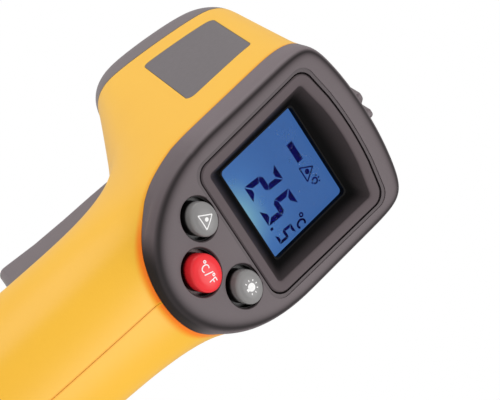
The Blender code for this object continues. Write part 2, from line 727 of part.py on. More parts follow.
def tray_shelf(side):
    top = tray_ends()[0] - TRAY_THICK - GAP
    x0, x1 = sorted((0.0, side * TRAY_SHELF_HALF))
    return box(x0, x1, -CELL_R - GAP - TRAY_THICK, TRAY_LIP, top - TRAY_SHELF, top, in_grip)


def make_housings():
    inner = WALL + 0.0003
    for name, side in (("left_housing", -1), ("right_housing", 1)):
        edge = GAP / 2
        x0, x1 = (edge, 0.2) if side > 0 else (-0.2, -edge)
        bm = cut(cage(), cage(inner))
        bosses = []
        for y, z, reach in SCREWS.values():
            bosses.append(cross_rod(y, z, [(0.0 if side > 0 else -reach, BOSS_R),
                                           (reach if side > 0 else 0.0, BOSS_R)], 12))
        bm = join(bm, tray_shelf(side), *bosses)
        bm = keep(bm, box(x0, x1, -0.2, NOSE_PLANE_Y, -0.1, 0.4), behind_bezel(GAP))
        label = cut(label_room(side, GAP), cage(LABEL_DEPTH + GAP))
        rooms = [sight_block(GAP), door_room(GAP), pin_rod(GAP), label,
                 box(-TRIGGER_HALF - SLOT_MARGIN, TRIGGER_HALF + SLOT_MARGIN,
                     TRIGGER_BACK_Y - SLOT_REACH, TRIGGER_FRONT[0][0] + SLOT_MARGIN,
                     TRIGGER_LOW_Z - SLOT_MARGIN, TRIGGER_TOP_Z + SLOT_MARGIN)]
        for y, z, reach in SCREWS.values():
            head_back = reach - SCREW_SINK
            tip = head_back - SCREW_LONG
            rooms.append(cross_rod(y, z, [(tip - GAP, SCREW_R + GAP), (head_back - GAP, SCREW_R + GAP),
                                          (head_back - GAP, SCREW_HEAD_R + GAP),
                                          (0.05, SCREW_HEAD_R + GAP)], 12))
        node(name, cut(bm, *rooms), "yellow")
        label = cut(keep(cage(), label_room(side, 0.0)), cage(LABEL_DEPTH))
        node(name.replace("housing", "label"), label, "grey")


def make_screws():
    for name, (y, z, reach) in SCREWS.items():
        back = reach - SCREW_SINK
        bm = cross_rod(y, z, [(back - SCREW_LONG, SCREW_R), (back, SCREW_R), (back, SCREW_HEAD_R),
                              (back + SCREW_HEAD, SCREW_HEAD_R)], 12)
        slot = box(back + SCREW_HEAD * 0.5, back + 0.01, y - 0.0003, y + 0.0003, z - 0.0014, z + 0.0014)
        node(name, cut(bm, slot), "steel")


def make_power():
    door = keep(cut(cage(), cage(WALL + 0.0003)), door_room(0.0))
    node("battery_door", door, "yellow", grip(0.0, 0.0, DOOR_LOW))
    half = CELL_LONG / 2
    for name, side in (("battery_left", -1), ("battery_right", 1)):
        x = side * (CELL_R + GAP)
        stations = ((-half, CELL_R - 0.0004), (-half + 0.0004, CELL_R), (half - 0.0004, CELL_R),
                    (half, CELL_R - 0.0004), (half, CELL_NUB_R), (half + CELL_NUB, CELL_NUB_R))
        node(name, loft([[grip(x + p, q, a) for p, q in circle(r, 24)] for a, r in stations]),
             "cell")
        place = Matrix.Translation(grip(x, 0.0, -half - GAP - SPRING_WIRE - COIL_TALL))
        place = place @ Matrix.Rotation(-HANDLE_TILT, 4, 'X')
        coil(name.replace("battery", "contact_spring"), COIL_R, COIL_WIRE, COIL_TURNS, COIL_TALL,
             place)
    low, high = tray_ends()
    top = high - GAP - CONTACT_THICK
    node("contact_plate", box(-2 * CELL_R + 0.001, 2 * CELL_R - 0.001, -CONTACT_HALF, CONTACT_HALF, top,
                              top + CONTACT_THICK, in_grip), "steel")
    back = -CELL_R - GAP
    t = TRAY_THICK
    outline = [(back, low), (TRAY_LIP, low), (TRAY_LIP, low - t), (back - t, low - t),
               (back - t, high + t), (TRAY_LIP, high + t), (TRAY_LIP, high), (back, high)]
    node("battery_tray", side_prism(outline, 2 * CELL_R + GAP, in_grip), "black")


make_bezel()
make_display()
make_buttons()
make_nose()
make_optics()
make_sight()
make_trigger()
make_housings()
make_screws()
make_power()
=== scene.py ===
"""Looks of the pistol-grip infrared thermometer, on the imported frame.

The outside is one subdivided cage, cut into bezel, housings, nose, cover and labels.
Places on the display panel are u (across), v (up the panel) and n (out to the user).
"""
import math

import bmesh
import bpy
from mathutils import Matrix, Vector


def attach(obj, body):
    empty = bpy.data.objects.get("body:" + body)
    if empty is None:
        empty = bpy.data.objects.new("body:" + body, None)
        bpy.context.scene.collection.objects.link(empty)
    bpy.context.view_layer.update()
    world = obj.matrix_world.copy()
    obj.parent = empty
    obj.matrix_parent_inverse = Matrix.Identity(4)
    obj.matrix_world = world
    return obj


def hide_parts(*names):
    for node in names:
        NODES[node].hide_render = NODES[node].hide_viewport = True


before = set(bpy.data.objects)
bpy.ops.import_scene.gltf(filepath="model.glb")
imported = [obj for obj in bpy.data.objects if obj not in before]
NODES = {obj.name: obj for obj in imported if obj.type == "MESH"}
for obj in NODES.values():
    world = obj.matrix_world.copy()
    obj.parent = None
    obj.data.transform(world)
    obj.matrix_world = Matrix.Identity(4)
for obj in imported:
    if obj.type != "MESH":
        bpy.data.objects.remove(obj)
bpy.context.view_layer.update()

# Driving sizes, in metres, with the solids' values
GAP = 0.0003
WALL = 0.0024
PANEL_TILT = math.radians(20.0)
PANEL_PLACE = Vector((0.0, -0.03285, 0.1012))
SHIELD_HALF, SHIELD_TOP, SHIELD_LOW = 0.0217, 0.0540, -0.0104
SHIELD_CROWN, SHIELD_SIDE_TOP, SHIELD_SIDE_LOW = 0.0030, 0.0470, 0.0135
FACE_ROUND, FACE_ROUND_LOW = 0.0020, 0.0034
TOP_LEVELLING = 0.6
BEZEL_DEPTH, BEZEL_DEPTH_MID, BEZEL_DEPTH_LOW, BEZEL_PLATE = 0.0078, 0.0060, 0.0027, 0.0025
BEZEL_MID = 0.0010
NOSE_PLANE_Y, NOSE_TIP_Y, NOSE_TIP_R, NOSE_TIP_SQUARE = 0.04085, 0.05285, 0.0190, 3.6
BARREL_Z, BARREL_R, BARREL_SQUARE = 0.1278, 0.0204, 4.8
NOSE_RECESS_R, NOSE_FLOOR_R, NOSE_RECESS_DEPTH = 0.0148, 0.0136, 0.0072
LENS_BORE_R, LASER_HOLE_R, LASER_DROP, BORE_LAP = 0.0075, 0.0016, 0.0112, 0.001
HANDLE_TILT = math.radians(12.5)
HANDLE = ((0.0840, -0.0347, -0.0016, 0.0171), (0.0700, -0.0385, -0.0046, 0.0168),
          (0.0500, -0.0434, -0.0080, 0.0164), (0.0280, -0.0484, -0.0123, 0.0162),
          (0.0100, -0.0526, -0.0145, 0.0162), (0.0030, -0.0536, -0.0150, 0.0162))
BASE_ROUND, BASE_FLAT = 0.0026, 2.6
NECK_DROP, NECK_PULL = 0.30, 0.85

MOUTH_HALF_LOW, MOUTH_HALF_TOP, MOUTH_LOW, MOUTH_TOP = 0.0144, 0.0150, 0.0138, 0.0431
MOUTH_CROWN, FRAME_RIM = 0.0022, 0.0024
WINDOW_HALF, WINDOW_LOW, WINDOW_TOP = 0.0117, 0.0178, 0.0402
FRAME_DEPTH, FRAME_SLOPE_DEPTH = 0.0050, 0.0036
LCD_FRONT = 0.0066

BUTTON_SIDE_U, BUTTON_SIDE_V = 0.0091, 0.00635
BUTTON_HALF_U, BUTTON_HALF_V, UNIT_GROWTH = 0.0039, 0.00325, 1.12
BUTTON_RISE = 0.0027

TRIGGER_PIVOT_Y, TRIGGER_PIVOT_Z = -0.0010, 0.0970
TRIGGER_HALF, TRIGGER_BACK_Y, TRIGGER_TOP_Z, TRIGGER_LOW_Z = 0.0100, -0.0085, 0.1038, 0.0680
TRIGGER_FRONT = ((0.0170, 0.1026), (0.0148, 0.0940), (0.0126, 0.0862), (0.0108, 0.0780), (0.0100, 0.0705))
TRIGGER_PIN_R, TRIGGER_PIN_HALF = 0.0012, 0.0122
SLOT_MARGIN, SLOT_REACH = 0.0010, 0.0060
SPRING_ROOM, SPRING_HALF = 0.0036, 0.0036

SIGHT_HALF, SIGHT_BACK_Y, SIGHT_LONG = 0.0033, -0.0116, 0.0260
SIGHT_RISE, SIGHT_FALL, SIGHT_SINK, SIGHT_NOTCH = 0.0007, 0.0006, 0.0040, 0.0016

GRIP_PLACE = Vector((0.0, -0.0267, 0.0385))
DOOR_HALF, DOOR_LOW, DOOR_TOP, DOOR_BACK, DOOR_FAR = 0.0096, -0.0285, 0.0232, 0.0040, 0.0260
LABEL_BACK_Y, LABEL_FRONT_Y, LABEL_LOW_Z, LABEL_TOP_Z = -0.0040, 0.0328, 0.1218, 0.1405
LABEL_DEPTH = 0.0006
SCREWS = {"head": (0.0270, 0.1440, 0.0158), "grip": (-0.0260, 0.0735, 0.0138),
          "base": (-0.0400, 0.0090, 0.0128)}
SCREW_HEAD_R, SCREW_SINK = 0.0022, 0.0030

# The cage's net: points of a ring, then rings by edge rounds, by depth and along the barrel
AROUND = 24
CROWN_POINTS = ((0.0, 0.0), (0.33, 0.1), (0.65, 0.45), (0.9, 1.0))
SIDE_STEPS = 4
FOOT_TURNS = (25, 50, 71)
FACE_RINGS = ((3.0, 0.0), (1.0, 0.0), (0.25, 0.3), (0.0, 1.1))
SIDE_DEPTH, REAR_DEPTH = 0.0070, 0.0120
BARREL_SHARES = (0.22, 0.46, 0.66, 0.84)
NOSE_DRAFT, NOSE_MID = 0.0006, 0.4
NOSE_RINGS = ((0.0004, 0.0012, NOSE_TIP_SQUARE), (-0.0014, 0.0, NOSE_TIP_SQUARE), (-0.0046, 0.0, 2.0))
HANDLE_COLUMNS, HANDLE_RINGS = (9, 15), (3, 7)
CORNER_SQUARE, CORNER_EASE = 0.2, 0.8

# Sizes of the looks alone, in metres; cutters reach FAR through the part or PAST a face
FAR, PAST, SLIP = 0.3, 0.01, 0.0001
# SEAM_STRIP and JOINT_STRIP are widths of painted shade on the housings; ORANGE_SHARE sets how far down the
# panel its deeper tone reaches.
SEAM, SEAM_STRIP, JOINT_STRIP, ORANGE_SHARE = 0.00010, 0.00050, 0.0016, 0.7
ARCH_SHARES = tuple(k / 6 for k in range(3, -4, -1))
MOUTH_CORNER, MOUTH_CORNER_IN, MOUTH_CORNER_GROWTH, WINDOW_CORNER = 0.0026, 0.0010, 0.3, 0.0010
FRAME_STEP, FRAME_STEP_DEPTH = 0.0007, 0.0002
FRAME_EDGE = ((0.0, FRAME_DEPTH), (0.0, 0.0004), (0.0003, 0.0001))
MOUTH_EDGE = ((0.0005, 0.0001), (0.0001, 0.0003), (-0.0004, 0.0010))
FUNNEL_FOOT = ((0.0008, FRAME_SLOPE_DEPTH - 0.0003), (0.0004, FRAME_SLOPE_DEPTH), (0.0004, FRAME_DEPTH))
LIP_GROWTH, LIP_RISE = 0.00035, 0.0001

HOLE_GAP = 0.0010
HOLE_EDGE = ((0.0, -FAR), (0.0, -0.0005), (0.0001, -0.0002), (0.0003, 0.00002), (0.0003, PAST))
WELL_TOP, WELL_SLIP, WELL_THICK = 0.0008, 0.00001, 0.0002
KEY_FLANGE, KEY_FLANGE_THICK = 0.0012, 0.0010
KEY_SHOULDER, KEY_RIM, KEY_RIM_TALL, KEY_RIM_STEPS = 0.0013, 0.0011, 0.0009, 8
KEY_CROWN, KEY_CROWN_SHARES = 0.0006, (0.68, 0.56, 0.44, 0.32, 0.20, 0.08)

NOSE_LIP, NOSE_LIP_RISE = 0.0008, 0.0002
SIGHT_NOTCH_DEPTH, SIGHT_CORNER = 0.0016, 0.0007
SIGHT_ENDS = ((0.0, 0.0006), (0.012, 0.00015), (0.03, 0.0), (0.97, 0.0), (0.988, 0.00015), (1.0, 0.0006))
TRIGGER_CORNER, TRIGGER_RIM, TRIGGER_RIM_STEPS = 0.0022, 0.0016, 6
DOOR_CORNER, LABEL_CORNER, LABEL_INNER_X = 0.0020, 0.0016, 0.012

LCD_DIGITS = (("2", -0.0042, 0.0220, 0.0042, 0.0090, 0.00150),
              ("5", 0.0022, 0.0219, 0.0042, 0.0090, 0.00150),
              ("5", 0.0089, 0.0219, 0.0024, 0.0048, 0.00072))
LCD_SLANT, LCD_CLEAR, LCD_SIGN_ROW = 0.10, 0.00001, 0.0367
SEGMENTS, SEGMENT_GAP = {"2": "abged", "5": "afgcd"}, 0.143
MARK_STROKE, MARK_LIFT, MARK_THICK = 0.00023, 0.00004, 0.0002
BULB_GLASS_TURN, BULB_CAP_HALF, BULB_CAP_DROP = 150, 0.35, 1.35
BULB_RAY_TURNS = range(-120, 121, 40)
ARC_STEPS, ROD_STEPS, LASER_STEPS = 24, 40, 32
STRAIGHT, LONGEST_RUN = math.radians(80), 0.45

# Stage
CAMERA_PLACE = Vector((-0.258163, -0.627403, 0.049437))
CAMERA_RIGHT = Vector((0.505230, -0.306289, 0.806802))
CAMERA_UP = Vector((-0.771250, 0.259200, 0.581368))
CAMERA_LENS, SENSOR_WIDTH, CLIP_END = 227.96, 36.0, 20.0
LAMPS = (("key", (-0.85, 0.20, 0.42), 0.9, 5.2), ("fill", (0.45, -0.75, 0.75), 0.7, 7.0))
LAMP_AIM = Vector((0.0, 0.0, 0.11))
STUDIO_LEVEL, FLOOR_LEVEL, FLOOR_SIZE = 0.58, 0.75, 0.7

# Surfaces
DRIFT_SCALE, DRIFT_SHADE, GLOSS_DRIFT, BUMP_STRENGTH = 45.0, 0.9, 0.05, 0.35
FINE_GRAIN, FINE_BUMP = 3200.0, 0.00005
METAL_STRETCH, METAL_DRIFT = (40.0, 3000.0, 3000.0), 0.07
GLOW_OFFSET, GLOW_REACH = 0.0005, (0.024, 0.016, 0.020)


# Frames of reference

def frame_matrix(place, x, y, z):
    m = Matrix.Identity(4)
    for row in range(3):
        m[row][0], m[row][1], m[row][2], m[row][3] = x[row], y[row], z[row], place[row]
    return m


PANEL_SIN, PANEL_COS = math.sin(PANEL_TILT), math.cos(PANEL_TILT)
PANEL = frame_matrix(PANEL_PLACE, (1, 0, 0), (0, PANEL_SIN, PANEL_COS), (0, -PANEL_COS, PANEL_SIN))
BARREL = frame_matrix((0, 0, BARREL_Z), (1, 0, 0), (0, 0, -1), (0, 1, 0))
GRIP_SIN, GRIP_COS = math.sin(HANDLE_TILT), math.cos(HANDLE_TILT)
GRIP = frame_matrix(GRIP_PLACE, (1, 0, 0), (0, GRIP_COS, -GRIP_SIN), (0, GRIP_SIN, GRIP_COS))
ACROSS = frame_matrix((0, 0, 0), (0, 1, 0), (0, 0, 1), (1, 0, 0))


# Materials

def shader(name):
    mat = bpy.data.materials.new(name)
    mat.use_nodes = True
    return mat, mat.node_tree, mat.node_tree.nodes["Principled BSDF"]


def add(tree, kind, **values):
    """New node, with its inputs or properties set by name."""
    item = tree.nodes.new(kind)
    for key, value in values.items():
        if key in item.inputs:
            item.inputs[key].default_value = value
        else:
            setattr(item, key, value)
    return item


def object_places(tree):
    return add(tree, "ShaderNodeTexCoord").outputs["Object"]


def noise(tree, places, scale, detail=2.0):
    item = add(tree, "ShaderNodeTexNoise", Scale=scale, Detail=detail)
    tree.links.new(places, item.inputs["Vector"])
    return item.outputs["Fac"]


def spread(tree, share, low, high):
    """A share from 0 to 1 led over to a range."""
    item = add(tree, "ShaderNodeMapRange", **{"To Min": low, "To Max": high})
    tree.links.new(share, item.inputs["Value"])
    return item.outputs["Result"]


def eased(tree, source, start, stop):
    """0 to 1 as a value runs from start to stop."""
    ends = {"From Min": start, "From Max": stop}
    item = add(tree, "ShaderNodeMapRange", interpolation_type='SMOOTHSTEP', **ends)
    tree.links.new(source, item.inputs["Value"])
    return item.outputs["Result"]


def sums(tree, operation, *values):
    item = add(tree, "ShaderNodeMath", operation=operation)
    for socket, value in zip(item.inputs, values):
        if isinstance(value, float):
            socket.default_value = value
        else:
            tree.links.new(value, socket)
    return item.outputs["Value"]


def two_tones(tree, share, pale, deep):
    """Base colour between a deep tone and a pale one."""
    tone = add(tree, "ShaderNodeMixRGB", Color1=(*deep, 1.0), Color2=(*pale, 1.0))
    tree.links.new(share, tone.inputs["Fac"])
    tree.links.new(tone.outputs["Color"], tree.nodes["Principled BSDF"].inputs["Base Color"])


def moulded(name, pale, deep, rough, grain=2600.0, bump=0.00004, gleam=0.35):
    """Moulded plastic: slow tone drift, spark-eroded grain and uneven gloss."""
    mat, tree, bsdf = shader(name)
    places = object_places(tree)
    two_tones(tree, noise(tree, places, DRIFT_SCALE), pale, deep)
    fine = noise(tree, places, grain, 3.0)
    gloss = spread(tree, fine, rough - GLOSS_DRIFT, rough + GLOSS_DRIFT)
    tree.links.new(gloss, bsdf.inputs["Roughness"])
    relief = add(tree, "ShaderNodeBump", Strength=BUMP_STRENGTH, Distance=bump)
    tree.links.new(fine, relief.inputs["Height"])
    tree.links.new(relief.outputs["Normal"], bsdf.inputs["Normal"])
    bsdf.inputs["Specular IOR Level"].default_value = gleam
    return mat


def metal(name, pale, deep, rough):
    """Drawn or turned metal with fine lines."""
    mat, tree, bsdf = shader(name)
    turn = add(tree, "ShaderNodeMapping", Scale=METAL_STRETCH)
    tree.links.new(object_places(tree), turn.inputs["Vector"])
    lines = noise(tree, turn.outputs["Vector"], 1.0)
    two_tones(tree, lines, pale, deep)
    gloss = spread(tree, lines, rough - METAL_DRIFT, rough + METAL_DRIFT)
    tree.links.new(gloss, bsdf.inputs["Roughness"])
    bsdf.inputs["Metallic"].default_value = 1.0
    return mat


def panel_places(tree, place, scale=(1.0, 1.0, 1.0)):
    """Object coordinates turned along the panel and measured from a place."""
    turn = add(tree, "ShaderNodeMapping", vector_type='TEXTURE', Location=place,
               Rotation=PANEL.to_euler(), Scale=scale)
    tree.links.new(object_places(tree), turn.inputs["Vector"])
    return turn.outputs["Vector"]


def panel_parts(tree):
    """Object coordinates along the panel: across it, up it and off its face."""
    parts = add(tree, "ShaderNodeSeparateXYZ")
    tree.links.new(panel_places(tree, PANEL_PLACE), parts.inputs["Vector"])
    return parts.outputs


def by_depth(tree, source, stops):
    """Share of a deep tone from pairs of depth into the panel and share, eased between them."""
    first, last = stops[0][0], stops[-1][0]
    span = add(tree, "ShaderNodeMapRange", **{"From Min": -first, "From Max": -last})
    tree.links.new(source, span.inputs["Value"])
    ramp = add(tree, "ShaderNodeValToRGB")
    ramp.color_ramp.interpolation = 'EASE'
    points = ramp.color_ramp.elements
    for depth, share in stops:
        where = (depth - first) / (last - first)
        point = points[0] if depth == first else points[-1] if depth == last else points.new(where)
        point.color = (share, share, share, 1.0)
    tree.links.new(span.outputs["Result"], ramp.inputs["Fac"])
    return ramp.outputs["Color"]


def tint(tree, share, deep):
    """Lead the base colour over to a deep tone."""
    base = tree.nodes["Principled BSDF"].inputs["Base Color"]
    tone = add(tree, "ShaderNodeMixRGB", Color2=(*deep, 1.0))
    tree.links.new(base.links[0].from_socket, tone.inputs["Color1"])
    tree.links.new(share, tone.inputs["Fac"])
    tree.links.new(tone.outputs["Color"], base)


def edge_depth(tree, parts):
    """Depth into the panel, evened out for the larger round of the face's edge lower down."""
    low = sums(tree, 'SUBTRACT', SHIELD_SIDE_LOW, parts["Y"])
    low = sums(tree, 'MAXIMUM', sums(tree, 'DIVIDE', low, SHIELD_SIDE_LOW - SHIELD_LOW), 0.0)
    growth = sums(tree, 'MULTIPLY_ADD', sums(tree, 'SQRT', low), FACE_ROUND_LOW / FACE_ROUND - 1.0, 1.0)
    return sums(tree, 'DIVIDE', parts["Z"], growth)


def sink(mat, deep, stops, foot=None, edge=False):
    """Paint shade or light into a material: lead it over to another tone with depth into the panel.

    With a foot, a pair of places up the panel, it does so only towards the second one.
    With edge, the depth is evened out along the face's edge.
    """
    tree = mat.node_tree
    parts = panel_parts(tree)
    share = by_depth(tree, edge_depth(tree, parts) if edge else parts["Z"], stops)
    if foot:
        share = sums(tree, 'MULTIPLY', share, eased(tree, parts["Y"], *foot))
    tint(tree, share, deep)


def darkening(name, pale, deep, stops, gleam=0.10, rough=0.46):
    """Moulded plastic with painted shade: it turns from a pale tone to a deep one with depth into the panel.
    """
    shade = tuple(DRIFT_SHADE * c for c in pale)
    mat = moulded(name, pale, shade, rough, FINE_GRAIN, FINE_BUMP, gleam)
    sink(mat, deep, stops)
    return mat


def bezel_grey():
    """Grey with painted shade and light where the rim is one smooth round: painted shade as a dark groove
    line round the face, painted light as a pale band beside the display and painted shade as a dark band
    below it.
    """
    pale, painted_light, deep = (0.126, 0.101, 0.108), (0.168, 0.136, 0.145), (0.005, 0.0035, 0.0035)
    mat = darkening("bezel_painted_shade_and_light", pale, pale, ((0.0, 0.0), (0.001, 1.0)), 0.20)
    # Painted light: a pale band on the rim beside the display.
    sink(mat, painted_light, ((0.0008, 0.0), (0.0014, 1.0)), foot=(0.010, 0.022), edge=True)
    # Painted shade: a dark band on the rim below the face.
    sink(mat, deep, ((0.0003, 0.0), (0.0009, 0.94)), foot=(-0.0035, -0.0080), edge=True)
    # Painted shade: a dark groove line round the face's edge.
    sink(mat, deep, ((0.00004, 0.0), (0.00042, 0.84), (0.0010, 0.0)), edge=True)
    return mat


def painted_joint_shade(mat, amber, orange):
    """Painted shade on the housings: deeper tones along their seam and along the bezel's joint line."""
    tree = mat.node_tree
    parts = panel_parts(tree)
    lines = []
    for v, n in ((SHIELD_SIDE_LOW, BEZEL_DEPTH), (SHIELD_LOW, BEZEL_DEPTH_LOW)):
        slope = (BEZEL_DEPTH_MID - n) / (v - BEZEL_MID)
        lines.append(sums(tree, 'MULTIPLY_ADD', parts["Y"], slope, -BEZEL_DEPTH_MID - slope * BEZEL_MID))
    joint = sums(tree, 'MAXIMUM', sums(tree, 'MAXIMUM', *lines), -BEZEL_DEPTH)
    past = sums(tree, 'SUBTRACT', parts["Z"], joint)
    strip = eased(tree, past, -JOINT_STRIP, -GAP)
    tint(tree, strip, amber)
    foot = eased(tree, parts["Y"], BEZEL_MID, ORANGE_SHARE * SHIELD_LOW)
    tint(tree, sums(tree, 'MULTIPLY', strip, foot), orange)
    tint(tree, eased(tree, sums(tree, 'ABSOLUTE', parts["X"]), SEAM_STRIP, SEAM), amber)


def clear_pane():
    """Clear plastic, dull and of a low index, so that no lamp shows in it."""
    mat, tree, bsdf = shader("clear_pane")
    haze = spread(tree, noise(tree, object_places(tree), 300.0), 0.22, 0.30)
    tree.links.new(haze, bsdf.inputs["Roughness"])
    bsdf.inputs["Base Color"].default_value = (0.97, 0.98, 1.0, 1.0)
    bsdf.inputs["Transmission Weight"].default_value = 1.0
    bsdf.inputs["IOR"].default_value = 1.05
    return mat


def lit_lcd():
    """Backlit blue glass, greener and brighter towards its lower edge."""
    mat, tree, bsdf = shader("lit_lcd")
    middle = PANEL @ Vector((GLOW_OFFSET, WINDOW_LOW, -LCD_FRONT))
    glow = add(tree, "ShaderNodeTexGradient", gradient_type='QUADRATIC_SPHERE')
    tree.links.new(panel_places(tree, middle, GLOW_REACH), glow.inputs["Vector"])
    tone = add(tree, "ShaderNodeValToRGB")
    tone.color_ramp.elements[0].color = (0.046, 0.125, 0.345, 1.0)
    tone.color_ramp.elements[1].color = (0.21, 0.45, 0.53, 1.0)
    tone.color_ramp.elements.new(0.35).color = (0.060, 0.165, 0.415, 1.0)
    tree.links.new(glow.outputs["Fac"], tone.inputs["Fac"])
    tree.links.new(tone.outputs["Color"], bsdf.inputs["Emission Color"])
    bsdf.inputs["Base Color"].default_value = (0.0, 0.0, 0.0, 1.0)
    bsdf.inputs["Specular IOR Level"].default_value = 0.0
    bsdf.inputs["Emission Strength"].default_value = 0.98
    bsdf.inputs["Roughness"].default_value = 0.35
    return mat


YELLOW = moulded("yellow_moulding", (0.890, 0.495, 0.039), (0.862, 0.466, 0.034), 0.42)
# Painted shade along the housings' seam and the bezel's joint line.
painted_joint_shade(YELLOW, (0.84, 0.36, 0.004), (0.95, 0.20, 0.0))
GREY = moulded("grey_moulding", (0.158, 0.128, 0.136), (0.141, 0.114, 0.121), 0.40, FINE_GRAIN, FINE_BUMP)
BLACK = moulded("black_moulding", (0.012, 0.010, 0.010), (0.007, 0.006, 0.006), 0.32)
# Painted shade: the keys turn dark towards their feet in the holes.
KEY_GREY = darkening("grey_key", (0.235, 0.228, 0.226), (0.010, 0.009, 0.009),
                     ((-0.0005, 0.0), (0.0004, 1.0)), 0.35, 0.40)
KEY_RED = darkening("red_key", (0.84, 0.022, 0.030), (0.06, 0.002, 0.003),
                    ((0.0002, 0.0), (0.0011, 1.0)), 0.35, 0.38)
PRINT_WHITE = moulded("white_print", (0.86, 0.85, 0.84), (0.80, 0.79, 0.78), 0.5)
LCD_INK = moulded("lcd_segment", (0.0012, 0.0008, 0.060), (0.0010, 0.0006, 0.050), 0.6, 900.0, gleam=0.0)
BOARD = moulded("green_lacquer", (0.020, 0.17, 0.065), (0.012, 0.12, 0.045), 0.35, 900.0)
ZEBRA = moulded("layered_rubber", (0.55, 0.30, 0.30), (0.20, 0.10, 0.10), 0.7, 5000.0)
LIGHT_GUIDE = moulded("light_guide", (0.85, 0.88, 0.90), (0.78, 0.82, 0.86), 0.3)
STEEL = metal("drawn_steel", (0.66, 0.66, 0.68), (0.45, 0.45, 0.47), 0.30)
BRASS = metal("turned_brass", (0.78, 0.56, 0.24), (0.60, 0.41, 0.15), 0.28)
LENS = moulded("dark_lens", (0.035, 0.030, 0.050), (0.020, 0.018, 0.032), 0.12, 400.0, 0.00001)
CELL = moulded("cell_jacket", (0.030, 0.050, 0.130), (0.022, 0.038, 0.100), 0.35, 700.0)
LABEL = moulded("label_film", (0.132, 0.114, 0.121), (0.122, 0.106, 0.112), 0.36, 900.0, 0.00001)
# Painted shade: the display's funnel turns dark with depth into the panel.
FUNNEL = darkening("funnel_painted_shade", (0.119, 0.096, 0.102), (0.0030, 0.0028, 0.0028),
                   ((0.0002, 0.0), (0.0005, 0.64), (0.0030, 1.0)), 0.04)
# Painted shade: the liners in the keys' holes turn dark with depth.
WELL = darkening("painted_well_shade", (0.119, 0.096, 0.102), (0.0030, 0.0027, 0.0027),
                 ((0.0001, 0.0), (0.0010, 1.0)))
BEZEL_GREY = bezel_grey()
PANE = clear_pane()
LCD = lit_lcd()

# Place, half sizes, material and slot of each key
BUTTONS = {"laser": (-BUTTON_SIDE_U, BUTTON_SIDE_V, BUTTON_HALF_U, BUTTON_HALF_V, KEY_GREY, "grey_rubber"),
           "unit": (0.0, 0.0, BUTTON_HALF_U * UNIT_GROWTH, BUTTON_HALF_V * UNIT_GROWTH, KEY_RED,
                    "red_rubber"),
           "light": (BUTTON_SIDE_U, BUTTON_SIDE_V, BUTTON_HALF_U, BUTTON_HALF_V, KEY_GREY, "grey_rubber")}


# Mesh helpers

def as_object(name, bm):
    mesh = bpy.data.meshes.new(name)
    bm.to_mesh(mesh)
    bm.free()
    obj = bpy.data.objects.new(name, mesh)
    bpy.context.scene.collection.objects.link(obj)
    return obj


def tool(bm):
    """A cutter for carve."""
    return as_object("tool", bm)


def settle(obj):
    """Apply an object's modifiers to its mesh."""
    graph = bpy.context.evaluated_depsgraph_get()
    graph.update()
    mesh = bpy.data.meshes.new_from_object(obj.evaluated_get(graph))
    obj.modifiers.clear()
    obj.data = mesh
    return obj


def carve(obj, operation, *tools):
    """Exact Boolean with tool objects, which are used up."""
    for item in tools:
        mod = obj.modifiers.new("carve", 'BOOLEAN')
        mod.operation, mod.solver, mod.object = operation, 'EXACT', item
    settle(obj)
    for item in tools:
        bpy.data.objects.remove(item, do_unlink=True)
    return obj


def piece(obj, name, body, mat, slot, *nodes, sharp=32.0):
    """Name, shade and hang a finished piece on its body."""
    obj.name = name
    mesh = obj.data
    mesh.materials.clear()
    mesh.materials.append(mat)
    for poly in mesh.polygons:
        poly.use_smooth = True
        poly.material_index = 0
    mesh.set_sharp_from_angle(angle=math.radians(sharp))
    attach(obj, body)
    if nodes:
        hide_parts(*nodes)
    return obj


def copy_of(obj):
    twin = bpy.data.objects.new("copy", obj.data.copy())
    bpy.context.scene.collection.objects.link(twin)
    return twin


def loop_edges(bm, ring):
    ring = set(ring)
    return [e for e in bm.edges if e.verts[0] in ring and e.verts[1] in ring and len(e.link_faces) < 2]


def pull(bm, ring, places):
    """Extrude an open ring of vertices to new places, in order."""
    made = bmesh.ops.extrude_edge_only(bm, edges=loop_edges(bm, ring))["geom"]
    fresh = {v for v in made if isinstance(v, bmesh.types.BMVert)}
    out = []
    for vert, place in zip(ring, places):
        twin = next(e.other_vert(vert) for e in vert.link_edges if e.other_vert(vert) in fresh)
        twin.co = place
        out.append(twin)
    return out


def ring_of(bm, places):
    """A closed ring of vertices with edges, moved onto places."""
    ring = bmesh.ops.create_circle(bm, cap_ends=False, radius=1.0, segments=len(places))["verts"]
    for vert, place in zip(ring, places):
        vert.co = place
    return ring


def band(loops, place=None):
    """Closed ring-shaped solid: loops of equal length, the last joined back to the first."""
    bm = bmesh.new()
    start = ring_of(bm, loops[0])
    ring = start
    for places in loops[1:]:
        ring = pull(bm, ring, places)
    bmesh.ops.bridge_loops(bm, edges=loop_edges(bm, start) + loop_edges(bm, ring))
    bmesh.ops.recalc_face_normals(bm, faces=bm.faces)
    if place is not None:
        bm.transform(place)
    return bm


def close(bm):
    bmesh.ops.holes_fill(bm, edges=[e for e in bm.edges if e.is_boundary], sides=0)
    bmesh.ops.recalc_face_normals(bm, faces=bm.faces)
    return bm


def stack(rings, place=None):
    """Closed solid pulled through rings of equal length."""
    bm = bmesh.new()
    ring = ring_of(bm, rings[0])
    for places in rings[1:]:
        ring = pull(bm, ring, places)
    close(bm)
    if place is not None:
        bm.transform(place)
    return bm


def block(low, high):
    bm = bmesh.new()
    bmesh.ops.create_cube(bm, size=1.0)
    low, high = Vector(low), Vector(high)
    bmesh.ops.scale(bm, vec=high - low, verts=bm.verts)
    bmesh.ops.translate(bm, vec=(low + high) / 2, verts=bm.verts)
    return bm


def oval(half_u, half_v, n, u=0.0, v=0.0, count=64):
    return [Vector((u + half_u * math.sin(a), v + half_v * math.cos(a), n))
            for a in (2 * math.pi * k / count for k in range(count))]


